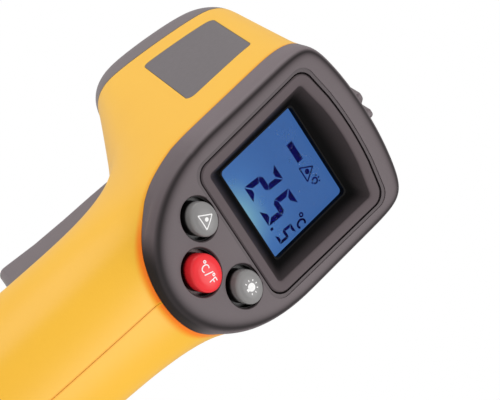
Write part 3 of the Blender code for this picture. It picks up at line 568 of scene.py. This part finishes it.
def turned(stations, place, count=96):
    """Round solid: stations of (distance along the axis, radius)."""
    return stack([oval(r, r, along, count=count) for along, r in stations], place)


def across(outline, x0, x1):
    """Solid between two X places with a side outline of (y, z)."""
    return stack([[Vector((y, z, x)) for y, z in outline] for x in (x0, x1)], ACROSS)


def cross_rod(y, z, stations):
    """Round solid along X: stations of (x, radius)."""
    rings = [[Vector((y + p.x, z + p.y, x)) for p in oval(r, r, 0, count=ROD_STEPS)] for x, r in stations]
    return stack(rings, ACROSS)


def inset_loop(loop, depth):
    """A loop of (y, z) pulled in square to itself."""
    out = []
    for i, p in enumerate(loop):
        along = (Vector(loop[(i + 1) % len(loop)]) - Vector(loop[i - 1])).normalized()
        out.append((p[0] + along.y * depth, p[1] - along.x * depth))
    return out


def rounded_loop(corners, radius, steps=8):
    """Corner points of a loop, each turned into an arc unless it is nearly straight."""
    out = []
    for i, corner in enumerate(corners):
        p, a, b = Vector(corner), Vector(corners[i - 1]), Vector(corners[(i + 1) % len(corners)])
        into, away = (a - p).normalized(), (b - p).normalized()
        half = into.angle(away) / 2
        if half > STRAIGHT:
            out.append(p)
            continue
        run = min(radius / math.tan(half), (a - p).length * LONGEST_RUN, (b - p).length * LONGEST_RUN)
        middle = p + (into + away).normalized() * (run / math.cos(half))
        start, stop = p + into * run - middle, p + away * run - middle
        sweep = start.angle_signed(stop)
        for k in range(steps + 1):
            turn = Matrix.Rotation(-sweep * k / steps, 2)
            out.append(middle + turn @ start)
    return out


def gather(parts):
    """Several bmeshes as one, set on the panel."""
    out = bmesh.new()
    for bm in parts:
        mesh = bpy.data.meshes.new("part")
        bm.to_mesh(mesh)
        bm.free()
        out.from_mesh(mesh)
        bpy.data.meshes.remove(mesh)
    out.transform(PANEL)
    return out


# The outside cage

def face_round(v):
    """Round of the face's edge: larger under the buttons than beside the display."""
    share = (SHIELD_SIDE_LOW - v) / (SHIELD_SIDE_LOW - SHIELD_LOW)
    return FACE_ROUND + (FACE_ROUND_LOW - FACE_ROUND) * math.sqrt(min(1.0, max(0.0, share)))


def shield(inset=0.0, rounds=0.0):
    """Outline of the bezel, clockwise from the top middle, pulled in by inset and by edge rounds."""
    w = SHIELD_HALF
    right = [(share * w, SHIELD_TOP - drop * SHIELD_CROWN) for share, drop in CROWN_POINTS]
    side = SHIELD_SIDE_TOP - SHIELD_SIDE_LOW
    right += [(w, SHIELD_SIDE_TOP - side * k / SIDE_STEPS) for k in range(SIDE_STEPS + 1)]
    right += [(w * math.cos(math.radians(d)),
               SHIELD_SIDE_LOW - (SHIELD_SIDE_LOW - SHIELD_LOW) * math.sin(math.radians(d)))
              for d in FOOT_TURNS]
    loop = right + [(0.0, SHIELD_LOW)] + [(-u, v) for u, v in right[:0:-1]]
    out = []
    for i, (u, v) in enumerate(loop):
        along = (Vector(loop[(i + 1) % AROUND]) - Vector(loop[i - 1])).normalized()
        depth = inset + rounds * face_round(v)
        out.append((u + along.y * depth, v - along.x * depth))
    return out


def shield_ring(inset, rounds, drops, base):
    """Ring of the cage behind the face: base depth, lowered by a number of edge rounds."""
    out = []
    for (u, v), (_, outer_v) in zip(shield(inset, rounds), shield()):
        n = base - drops * face_round(outer_v)
        rise = -n * math.tan(PANEL_TILT) * TOP_LEVELLING
        out.append(PANEL @ Vector((u, v + (rise if outer_v > SHIELD_SIDE_TOP else 0.0), n)))
    return out


def barrel_ring(radius, y, square=BARREL_SQUARE):
    """Section of the barrel: a round moved towards a square."""
    def ease(k):
        return math.copysign(abs(k) ** (2 / square), k)
    return [Vector((radius * ease(p.x), y, BARREL_Z + radius * ease(p.y)))
            for p in oval(1, 1, 0, count=AROUND)]


def handle_place(station, cross, along):
    """Point of a handle section; cross and along run from -1 to 1, squared corners eased."""
    z, back, front, half = station
    x = cross * (CORNER_SQUARE + CORNER_EASE * math.sqrt(1 - along * along / 2))
    y = along * (CORNER_SQUARE + CORNER_EASE * math.sqrt(1 - cross * cross / 2))
    return Vector((half * x, (back + front) / 2 + (front - back) / 2 * y, z))


def cage_rings(inset):
    """Rings of the cage from the middle of the face to the nose's tip."""
    tip = NOSE_TIP_Y - inset
    rear = shield_ring(inset, 0.0, 0.0, -REAR_DEPTH)
    front = barrel_ring(BARREL_R - inset, NOSE_PLANE_Y)
    rings = [shield_ring(inset, rounds, drops, -inset) for rounds, drops in FACE_RINGS]
    rings += [shield_ring(inset, 0.0, 0.0, -SIDE_DEPTH), rear]
    rings += [[p.lerp(q, w) for p, q in zip(rear, front)] for w in BARREL_SHARES]
    middle = (1 - NOSE_MID) * NOSE_PLANE_Y + NOSE_MID * tip
    rings += [front, barrel_ring(BARREL_R - NOSE_DRAFT - inset, middle)]
    return rings + [barrel_ring(NOSE_TIP_R + grow - inset, tip - deep, square)
                    for grow, deep, square in NOSE_RINGS]


def grow_handle(bm, grid, inset):
    """Open the cage's underside and pull the handle down from it."""
    (first, last), (left, right) = HANDLE_RINGS, HANDLE_COLUMNS
    inside = {grid[j][i] for j in range(first, last + 1) for i in range(left, right + 1)}
    bmesh.ops.delete(bm, geom=[f for f in bm.faces if set(f.verts) <= inside], context='FACES')
    walk = [(first, i) for i in range(left, right)] + [(j, right) for j in range(first, last)]
    walk += [(last, i) for i in range(right, left, -1)] + [(j, left) for j in range(last, first, -1)]
    spot = [(1 - 2 * (i - left) / (right - left), 2 * (j - first) / (last - first) - 1) for j, i in walk]
    stations = [(max(z, inset + BASE_ROUND), b + inset, f - inset, h - inset) for z, b, f, h in HANDLE]
    _, back, front, half = stations[-1]
    for shrink in (BASE_ROUND, BASE_FLAT * BASE_ROUND):
        stations.append((inset, back + shrink, front - shrink, half - shrink))
    ring = [grid[j][i] for j, i in walk]
    sections = [[handle_place(station, s, t) for s, t in spot] for station in stations]
    neck = [Vector((p.co.x + NECK_PULL * (q.x - p.co.x), *p.co.yz.lerp(q.yz, NECK_DROP)))
            for p, q in zip(ring, sections[0])]
    for places in [neck] + sections:
        ring = pull(bm, ring, places)
    close(bm)


def body_cage(name, inset=0.0, levels=3):
    """The whole outside, pulled in by inset, as one smooth solid."""
    bm = bmesh.new()
    rings = cage_rings(inset)
    grid = [ring_of(bm, rings[0])]
    for places in rings[1:]:
        grid.append(pull(bm, grid[-1], places))
    close(bm)
    grow_handle(bm, grid, inset)
    obj = as_object(name, bm)
    mod = obj.modifiers.new("smooth", 'SUBSURF')
    mod.levels = mod.render_levels = levels
    return settle(obj)


OUTSIDE = body_cage("outside")


# Outlines and rooms that the pieces are cut with

def behind_bezel(shift):
    """All that lies on the nose's side of the bezel's joint line, as a block across X."""
    deep, mid, low = (-d - shift for d in (BEZEL_DEPTH, BEZEL_DEPTH_MID, BEZEL_DEPTH_LOW))
    foot = SHIELD_LOW - shift
    side = [(FAR, deep), (SHIELD_SIDE_LOW, deep), (BEZEL_MID, mid), (foot, low), (foot, FAR),
            (-FAR, FAR), (-FAR, -FAR), (FAR, -FAR)]
    return tool(stack([[Vector((x, v, n)) for v, n in side] for x in (-FAR, FAR)], PANEL))


def opening(half_low, half_top, low, top, crown, radius, n):
    """Outline with rounded corners and a crowned top, at a height off the panel."""
    corners = [(half_low, low), (half_top, top)]
    arch = [(share * half_top, top + crown * (1 - share ** 2)) for share in ARCH_SHARES]
    loop = corners + arch + [(-u, v) for u, v in reversed(corners)]
    return [Vector((u, v, n)) for u, v in rounded_loop(loop, radius)]


def mouth(grow, n, radius=MOUTH_CORNER):
    """Outline of the display's mouth, grown by a margin."""
    return opening(MOUTH_HALF_LOW + grow, MOUTH_HALF_TOP + grow, MOUTH_LOW - grow, MOUTH_TOP + grow,
                   MOUTH_CROWN, radius + MOUTH_CORNER_GROWTH * grow, n)


def window(grow, n):
    """The window's opening, on as many points as the mouth's outline."""
    half = WINDOW_HALF + grow
    return opening(half, half, WINDOW_LOW - grow, WINDOW_TOP + grow, 0.0, WINDOW_CORNER, n)


def about_key(key, margin, n):
    """Oval about a key, grown by a margin, at a height off the panel."""
    u, v, half_u, half_v = key[:4]
    return oval(half_u + margin, half_v + margin, n, u, v)


def sight_top():
    return (PANEL @ Vector((0, SHIELD_TOP, 0))).z + SIGHT_RISE


def sight_room(margin):
    """Room of the bar on top, open upwards."""
    top = sight_top()
    low, high = top - SIGHT_FALL - SIGHT_SINK - margin, top + PAST
    back, front = SIGHT_BACK_Y - margin, SIGHT_BACK_Y + SIGHT_LONG + margin
    half = SIGHT_HALF + margin
    return across([(back, low), (front, low), (front, high), (back, high)], -half, half)


def door_room(margin):
    """Battery cover's opening, with rounded corners, through the grip's front."""
    half = DOOR_HALF + margin
    corners = [(half, DOOR_LOW - margin), (half, DOOR_TOP + margin), (-half, DOOR_TOP + margin),
               (-half, DOOR_LOW - margin)]
    loop = rounded_loop(corners, DOOR_CORNER)
    return stack([[Vector((x, f, a)) for x, a in loop] for f in (DOOR_BACK - margin, DOOR_FAR)], GRIP)


def label_room(side, margin):
    """Side label's recess: a slanted rear edge and rounded corners."""
    slant = (LABEL_TOP_Z - LABEL_LOW_Z) * math.tan(PANEL_TILT)
    m = margin
    corners = [(LABEL_BACK_Y - m, LABEL_LOW_Z - m), (LABEL_FRONT_Y + m, LABEL_LOW_Z - m),
               (LABEL_FRONT_Y + m, LABEL_TOP_Z + m), (LABEL_BACK_Y + slant - m, LABEL_TOP_Z + m)]
    return across(rounded_loop(corners, LABEL_CORNER + m), side * LABEL_INNER_X, side * FAR)


def trigger_slot():
    half = TRIGGER_HALF + SLOT_MARGIN
    back, front = TRIGGER_BACK_Y - SLOT_REACH, TRIGGER_FRONT[0][0] + SLOT_MARGIN
    low, high = TRIGGER_LOW_Z - SLOT_MARGIN, TRIGGER_TOP_Z + SLOT_MARGIN
    return block((-half, back, low), (half, front, high))


def pin_room(margin):
    half, r = TRIGGER_PIN_HALF + margin, TRIGGER_PIN_R + margin
    return cross_rod(TRIGGER_PIVOT_Y, TRIGGER_PIVOT_Z, [(-half, r), (half, r)])


def screw_rooms():
    """Holes of the three screws, from the right."""
    for y, z, reach in SCREWS.values():
        back = reach - SCREW_SINK
        yield cross_rod(y, z, [(back - GAP, SCREW_HEAD_R + GAP), (FAR, SCREW_HEAD_R + GAP)])


# Display and keys

def make_bezel():
    """Bezel with the display's stepped opening and the keys' holes."""
    hollow = [[Vector((u, v, n)) for u, v in shield(WALL)] for n in (-FAR, -BEZEL_PLATE)]
    rim = FRAME_RIM + GAP
    cutters = [hollow, [mouth(rim, n) for n in (-FAR, PAST)],
               [mouth(rim + FRAME_STEP, n) for n in (-FRAME_STEP_DEPTH, PAST)]]
    for key in BUTTONS.values():
        cutters.append([about_key(key, HOLE_GAP + grow, n) for grow, n in HOLE_EDGE])
    obj = copy_of(OUTSIDE)
    carve(obj, 'DIFFERENCE', tool(sight_room(SLIP)), behind_bezel(0.0),
          *(tool(stack(rings, PANEL)) for rings in cutters))
    piece(obj, "bezel", "housing", BEZEL_GREY, "dark_grey_plastic", "rear_bezel")


def make_well_shade():
    """Painted shade: dark liners put in the keys' holes."""
    section = ((WELL_SLIP, BEZEL_PLATE), (WELL_SLIP, WELL_TOP), (WELL_THICK, WELL_TOP),
               (WELL_THICK, BEZEL_PLATE))
    parts = [band([about_key(key, HOLE_GAP - inset, -depth) for inset, depth in section])
             for key in BUTTONS.values()]
    piece(as_object("wells", gather(parts)), "button_well_shade", "housing", WELL, "black_plastic")


def make_display():
    """Funnel round the display, and the lip at its foot."""
    rings = [mouth(FRAME_RIM - inset, -depth) for inset, depth in FRAME_EDGE]
    rings += [mouth(grow, -depth, MOUTH_CORNER_IN) for grow, depth in MOUTH_EDGE]
    rings += [window(grow, -depth) for grow, depth in FUNNEL_FOOT]
    piece(as_object("frame", band(rings, PANEL)), "display_surround", "housing", FUNNEL, "black_plastic",
          "display_frame")
    top = FRAME_SLOPE_DEPTH - LIP_RISE
    section = ((LIP_GROWTH, FRAME_DEPTH), (LIP_GROWTH, top), (0.0, top), (0.0, FRAME_DEPTH))
    lip = [window(grow, -depth) for grow, depth in section]
    piece(as_object("lip", band(lip, PANEL)), "display_lip", "housing", FUNNEL, "black_plastic")


def key_rings(key):
    """Rings of a key: flange, stem, rounded rim and crowned top."""
    u, v, half_u, half_v = key[:4]
    back, shoulder = -BEZEL_PLATE - GAP, BUTTON_RISE - KEY_SHOULDER
    section = ((KEY_FLANGE, back - KEY_FLANGE_THICK), (KEY_FLANGE, back), (0.0, back), (0.0, shoulder))
    rings = [about_key(key, grow, n) for grow, n in section]
    for k in range(1, KEY_RIM_STEPS):
        turn = math.radians(90 * k / KEY_RIM_STEPS)
        inset, lift = KEY_RIM * (1 - math.cos(turn)), KEY_RIM_TALL * math.sin(turn)
        rings.append(about_key(key, -inset, shoulder + lift))
    return rings + [oval(half_u * share, half_v * share, BUTTON_RISE - KEY_CROWN * share ** 2, u, v)
                    for share in KEY_CROWN_SHARES]


def make_buttons():
    for name, key in BUTTONS.items():
        mat, slot = key[4:]
        piece(as_object(name, stack(key_rings(key), PANEL)), name + "_key", name + "_key", mat, slot,
              name + "_button", sharp=50.0)


# Figures and symbols

def ribbon(path, width, height, thick):
    """Raised stroke along a panel path of (u, v), lying on a surface of height(u, v)."""
    rings = []
    for i, p in enumerate(path):
        ahead, behind = path[min(i + 1, len(path) - 1)], path[max(i - 1, 0)]
        along = (Vector(ahead) - Vector(behind)).normalized()
        side = Vector((-along.y, along.x)) * width / 2
        ring = []
        for sign, lift in ((1, -thick), (1, MARK_LIFT), (-1, MARK_LIFT), (-1, -thick)):
            u, v = p[0] + sign * side.x, p[1] + sign * side.y
            ring.append(Vector((u, v, height(u, v) + lift)))
        rings.append(ring)
    return stack(rings)


def line(p, q, steps=8):
    return [tuple(Vector(p).lerp(Vector(q), k / steps)) for k in range(steps + 1)]


def arc(u, v, radius, start=0, stop=360, tall=1.0):
    """Path round a middle, from the top and by the right, in degrees."""
    out = []
    for k in range(ARC_STEPS + 1):
        a = math.radians(start + (stop - start) * k / ARC_STEPS)
        out.append((u + radius * math.sin(a), v + radius * tall * math.cos(a)))
    return out


def triangle(u, v, half, tall):
    """Warning triangle about a middle, as three strokes."""
    corners = [(u - half, v - 0.4 * tall), (u, v + 0.6 * tall), (u + half, v - 0.4 * tall)]
    return [line(corners[i - 1], corners[i]) for i in range(3)]


def bulb(u, v, radius, reach=(1.35, 1.75)):
    """Lamp: a round glass, a cap below it and short rays about it."""
    glass = arc(u, v, radius, -BULB_GLASS_TURN, BULB_GLASS_TURN)
    half, low = BULB_CAP_HALF * radius, v - BULB_CAP_DROP * radius
    cap = line((u - half, low), (u + half, low), 2)
    rays = []
    for turn in BULB_RAY_TURNS:
        a = math.radians(turn)
        rays.append([(u + r * radius * math.sin(a), v + r * radius * math.cos(a)) for r in reach])
    return [glass, cap], rays


def digit(shape, left, low, wide, tall, stroke):
    """Seven-segment figure, leaning a little: bars with mitred ends about a box's edges."""
    h, mid, right, top = stroke, tall / 2, wide, tall
    bars = {"a": [(0, top), (right, top), (right - h, top - h), (h, top - h)],
            "d": [(0, 0), (h, h), (right - h, h), (right, 0)],
            "b": [(right, top), (right, mid), (right - h, mid + h / 2), (right - h, top - h)],
            "c": [(right, mid), (right, 0), (right - h, h), (right - h, mid - h / 2)],
            "f": [(0, top), (h, top - h), (h, mid + h / 2), (0, mid)],
            "e": [(0, mid), (h, mid - h / 2), (h, h), (0, 0)],
            "g": [(0, mid), (h / 2, mid + h / 2), (right - h / 2, mid + h / 2), (right, mid),
                  (right - h / 2, mid - h / 2), (h / 2, mid - h / 2)]}
    for key in SEGMENTS[shape]:
        loop = bars[key]
        middle = sum((Vector(p) for p in loop), Vector((0, 0))) / len(loop)
        flat = []
        for p in loop:
            away = Vector(p) - middle
            u, v = middle + away * (1 - SEGMENT_GAP * stroke / away.length)
            flat.append((left + u + LCD_SLANT * v, low + v))
        yield stack([[Vector((u, v, -LCD_FRONT + n)) for u, v in flat] for n in (LCD_CLEAR, MARK_LIFT)])


def make_lcd_figures():
    """Figures and signs just off the LCD's face, each sign a path and its width."""
    point = line((0.0070, 0.0222), (0.0076, 0.0222), 1)
    degree, letter = arc(0.0097, 0.0299, 0.0004), arc(0.0112, 0.0288, 0.0008, 45, -225, tall=1.3)
    bar = line((-0.0043, LCD_SIGN_ROW), (0.0005, LCD_SIGN_ROW), 1)
    signs = [(point, 0.0007), (degree, 0.00034), (letter, 0.00048), (bar, 0.0016)]
    signs += [(path, 0.00030) for path in triangle(0.0034, LCD_SIGN_ROW, 0.0018, 0.0030)]
    signs.append((arc(0.0034, LCD_SIGN_ROW, 0.00030), 0.00060))
    glass, rays = bulb(0.0062, 0.0371, 0.00062, (1.6, 2.2))
    upper_rays = rays[2:5]
    signs += [(path, 0.00036) for path in glass + upper_rays]
    parts = [bm for figure in LCD_DIGITS for bm in digit(*figure)]
    parts += [ribbon(path, width, lambda u, v: -LCD_FRONT, -LCD_CLEAR) for path, width in signs]
    piece(as_object("figures", gather(parts)), "lcd_figures", "housing", LCD_INK, "lcd_blue")


def laser_mark(u, v):
    """Warning triangle with a filled spot."""
    return triangle(u, v, 0.0018, 0.0029) + [arc(u, v, r) for r in (0.00012, 0.00034)]


def unit_mark(u, v):
    """Degree sign and C, a slash, degree sign and F."""
    degree_c, degree_f = arc(u - 0.00245, v + 0.00075, 0.00026), arc(u + 0.00095, v + 0.00080, 0.00026)
    letter_c = arc(u - 0.00130, v, 0.00070, 40, -220, tall=1.25)
    slash = line((u - 0.00035, v - 0.00105), (u + 0.00035, v + 0.00105))
    left = u + 0.00160
    stem = line((left, v - 0.00090), (left, v + 0.00085))
    arms = [line((left, v + high), (u + reach, v + high))
            for reach, high in ((0.00250, 0.00080), (0.00230, 0.00005))]
    return [degree_c, letter_c, slash, degree_f, stem] + arms


def light_mark(u, v):
    """Filled lamp with its stem and rays."""
    _, rays = bulb(u, v, 0.00095)
    stem = [line((u + k * 0.0002, v - 0.0013), (u + k * 0.0002, v)) for k in (-1, 0, 1)]
    return rays + stem + [arc(u, v, r) for r in (0.0002, 0.0004, 0.0006, 0.0008)]


def crown_of(key):
    """Height of a key's crowned top, as a function of the place on the panel."""
    u, v, half_u, half_v = key[:4]

    def height(at_u, at_v):
        share = ((at_u - u) / half_u) ** 2 + ((at_v - v) / half_v) ** 2
        return BUTTON_RISE - KEY_CROWN * share
    return height


def make_marks():
    """Printed symbols on the crowned tops of the three keys."""
    for name, mark in (("laser", laser_mark), ("unit", unit_mark), ("light", light_mark)):
        key = BUTTONS[name]
        parts = [ribbon(path, MARK_STROKE, crown_of(key), MARK_THICK) for path in mark(*key[:2])]
        piece(as_object(name, gather(parts)), name + "_mark", name + "_key", PRINT_WHITE, key[-1])


# Nose, housings, sight and trigger

def make_nose():
    """Nose with its dished front, the lens's bore and the laser's hole."""
    obj = copy_of(OUTSIDE)
    carve(obj, 'INTERSECT', tool(block((-FAR, NOSE_PLANE_Y + GAP, -FAR), (FAR, FAR, FAR))))
    floor, wide = NOSE_TIP_Y - NOSE_RECESS_DEPTH, NOSE_RECESS_R + NOSE_LIP
    recess = turned([(floor, NOSE_FLOOR_R), (NOSE_TIP_Y - NOSE_LIP, NOSE_RECESS_R),
                     (NOSE_TIP_Y + NOSE_LIP_RISE, wide), (NOSE_TIP_Y + PAST, wide)], BARREL)
    bore = turned([(0.0, LENS_BORE_R), (floor + BORE_LAP, LENS_BORE_R)], BARREL)
    laser = turned([(0.0, LASER_HOLE_R), (floor + BORE_LAP, LASER_HOLE_R)],
                   BARREL @ Matrix.Translation((0, LASER_DROP, 0)), LASER_STEPS)
    carve(obj, 'DIFFERENCE', tool(recess), tool(bore), tool(laser))
    piece(obj, "nose", "housing", GREY, "dark_grey_plastic", "nose_ring")


def make_housings():
    """Left and right shells, the labels let into them and the battery cover."""
    inner = body_cage("inner", WALL + GAP, 2)
    shell = carve(copy_of(OUTSIDE), 'DIFFERENCE', inner)
    under_label = body_cage("under_label", LABEL_DEPTH + SLIP)
    label_skin = body_cage("label_skin", LABEL_DEPTH)
    for name, side in (("left", -1), ("right", 1)):
        x0, x1 = sorted((side * SEAM / 2, side * FAR))
        obj = copy_of(shell)
        half = block((x0, -FAR, -FAR), (x1, NOSE_PLANE_Y, FAR))
        carve(obj, 'INTERSECT', tool(half), behind_bezel(SEAM))
        recess = carve(tool(label_room(side, SLIP)), 'DIFFERENCE', copy_of(under_label))
        rooms = [tool(sight_room(SLIP)), tool(door_room(SEAM)), tool(pin_room(GAP)), recess]
        rooms += [tool(trigger_slot())] + [tool(room) for room in screw_rooms() if side > 0]
        carve(obj, 'DIFFERENCE', *rooms)
        piece(obj, name + "_shell", "housing", YELLOW, "yellow_plastic", name + "_housing")

        label = carve(copy_of(OUTSIDE), 'INTERSECT', tool(label_room(side, 0.0)))
        carve(label, 'DIFFERENCE', copy_of(label_skin))
        piece(label, name + "_plate", "housing", LABEL, "dark_grey_plastic", name + "_label")
    door = carve(copy_of(shell), 'INTERSECT', tool(door_room(0.0)))
    piece(door, "battery_cover", "door", YELLOW, "yellow_plastic", "battery_door")
    for old in (shell, under_label, label_skin):
        bpy.data.objects.remove(old, do_unlink=True)


def make_sight():
    """Notched bar on top, falling a little towards the nose."""
    top = sight_top()
    low = top - SIGHT_FALL - SIGHT_SINK
    corners = [(-SIGHT_HALF, low), (SIGHT_HALF, low), (SIGHT_HALF, top), (SIGHT_NOTCH, top),
               (0.0, top - SIGHT_NOTCH_DEPTH), (-SIGHT_NOTCH, top), (-SIGHT_HALF, top)]
    loop = rounded_loop(corners, SIGHT_CORNER, 6)
    rings = []
    for share, shrink in SIGHT_ENDS:
        y = SIGHT_BACK_Y + SIGHT_LONG * share
        drop = SIGHT_FALL * share + shrink
        thin = 1 - shrink / SIGHT_HALF
        rings.append([Vector((x * thin, y, max(low, z - drop))) for x, z in loop])
    piece(as_object("sight", stack(rings)), "sight_bar", "housing", GREY, "dark_grey_plastic", "top_sight")


def make_trigger():
    """Trigger with rounded sides, its pin's bore and the spring's pocket."""
    outline = [(TRIGGER_BACK_Y, TRIGGER_LOW_Z), (TRIGGER_BACK_Y, TRIGGER_TOP_Z),
               (TRIGGER_FRONT[0][0], TRIGGER_TOP_Z), *TRIGGER_FRONT[1:-1],
               (TRIGGER_FRONT[-1][0], TRIGGER_LOW_Z)]
    loop = rounded_loop(outline, TRIGGER_CORNER, 6)
    rings = []
    for k in (*range(-TRIGGER_RIM_STEPS, 0), *range(1, TRIGGER_RIM_STEPS + 1)):
        turn = math.radians(90 * abs(k) / TRIGGER_RIM_STEPS)
        x = math.copysign(TRIGGER_HALF - TRIGGER_RIM + TRIGGER_RIM * math.sin(turn), k)
        shrink = TRIGGER_RIM * (1 - math.cos(turn))
        rings.append([Vector((x, *p)) for p in inset_loop(loop, shrink)])
    obj = as_object("trigger_piece", stack(rings))
    y, z, room = TRIGGER_PIVOT_Y, TRIGGER_PIVOT_Z, SPRING_ROOM
    pocket = block((-SPRING_HALF, TRIGGER_BACK_Y - PAST, z - room), (SPRING_HALF, y + room, z + room))
    carve(obj, 'DIFFERENCE', tool(pin_room(GAP)), tool(pocket))
    piece(obj, "trigger_lever", "trigger", GREY, "dark_grey_plastic", "trigger")


# Stage

def seen_level(tree, unseen, kinds):
    """1 for the given kinds of ray, else a lower level."""
    path = add(tree, "ShaderNodeLightPath")
    seen = path.outputs[kinds[0]]
    for kind in kinds[1:]:
        seen = sums(tree, 'MAXIMUM', seen, path.outputs[kind])
    return spread(tree, seen, unseen, 1.0)


def make_lights():
    world = bpy.data.worlds.new("studio")
    bpy.context.scene.world = world
    world.use_nodes = True
    tree = world.node_tree
    back = tree.nodes["Background"]
    back.inputs["Color"].default_value = (1.0, 1.0, 1.0, 1.0)
    level = seen_level(tree, STUDIO_LEVEL, ("Is Camera Ray", "Is Transmission Ray"))
    tree.links.new(level, back.inputs["Strength"])

    for name, place, size, power in LAMPS:
        data = bpy.data.lights.new(name, 'AREA')
        data.shape, data.size, data.energy = 'DISK', size, power
        lamp = bpy.data.objects.new(name, data)
        lamp.location = place
        lamp.rotation_euler = (LAMP_AIM - Vector(place)).to_track_quat('-Z', 'Y').to_euler()
        bpy.context.scene.collection.objects.link(lamp)


def make_floor():
    bm = bmesh.new()
    bmesh.ops.create_grid(bm, x_segments=1, y_segments=1, size=FLOOR_SIZE)
    floor = as_object("floor", bm)
    mat, tree, bsdf = shader("pale_floor")
    tone = spread(tree, noise(tree, object_places(tree), 3.0), 0.90, 0.93)
    level = seen_level(tree, FLOOR_LEVEL, ("Is Camera Ray", "Is Glossy Ray", "Is Transmission Ray"))
    tree.links.new(sums(tree, 'MULTIPLY', tone, level), bsdf.inputs["Base Color"])
    bsdf.inputs["Roughness"].default_value = 0.9
    floor.data.materials.append(mat)


def make_camera():
    data = bpy.data.cameras.new("camera")
    data.sensor_width, data.lens, data.clip_end = SENSOR_WIDTH, CAMERA_LENS, CLIP_END
    cam = bpy.data.objects.new("camera", data)
    out = CAMERA_RIGHT.cross(CAMERA_UP)
    cam.matrix_world = frame_matrix(CAMERA_PLACE, CAMERA_RIGHT, CAMERA_UP, out)
    bpy.context.scene.collection.objects.link(cam)
    bpy.context.scene.camera = cam


make_camera()
make_floor()
make_lights()
make_bezel()
make_well_shade()
make_display()
make_buttons()
make_lcd_figures()
make_marks()
make_nose()
make_housings()
make_sight()
make_trigger()
bpy.data.objects.remove(OUTSIDE, do_unlink=True)

# Materials of the nodes that keep their solids' shape
LOOKS = {"lcd_panel": LCD, "display_window": PANE, "backlight_panel": LIGHT_GUIDE, "zebra_strip": ZEBRA,
         "main_board": BOARD, "sensor_board": BOARD, "lens_tube": BLACK, "ir_lens": LENS, "thermopile": STEEL,
         "laser_module": BRASS, "optics_bracket": BLACK, "trigger_pin": STEEL, "trigger_spring": STEEL,
         "trigger_switch": BLACK, "switch_plunger": KEY_RED, "battery_left": CELL, "battery_right": CELL,
         "battery_tray": BLACK, "contact_plate": STEEL, "contact_spring_left": STEEL,
         "contact_spring_right": STEEL}
for key in BUTTONS:
    LOOKS[key + "_plunger"], LOOKS[key + "_switch"] = BLACK, STEEL
for key in SCREWS:
    LOOKS["case_screw_" + key] = STEEL
for node, mat in LOOKS.items():
    data = NODES[node].data
    data.materials.clear()
    data.materials.append(mat)

bpy.context.scene.view_settings.view_transform = 'Standard'
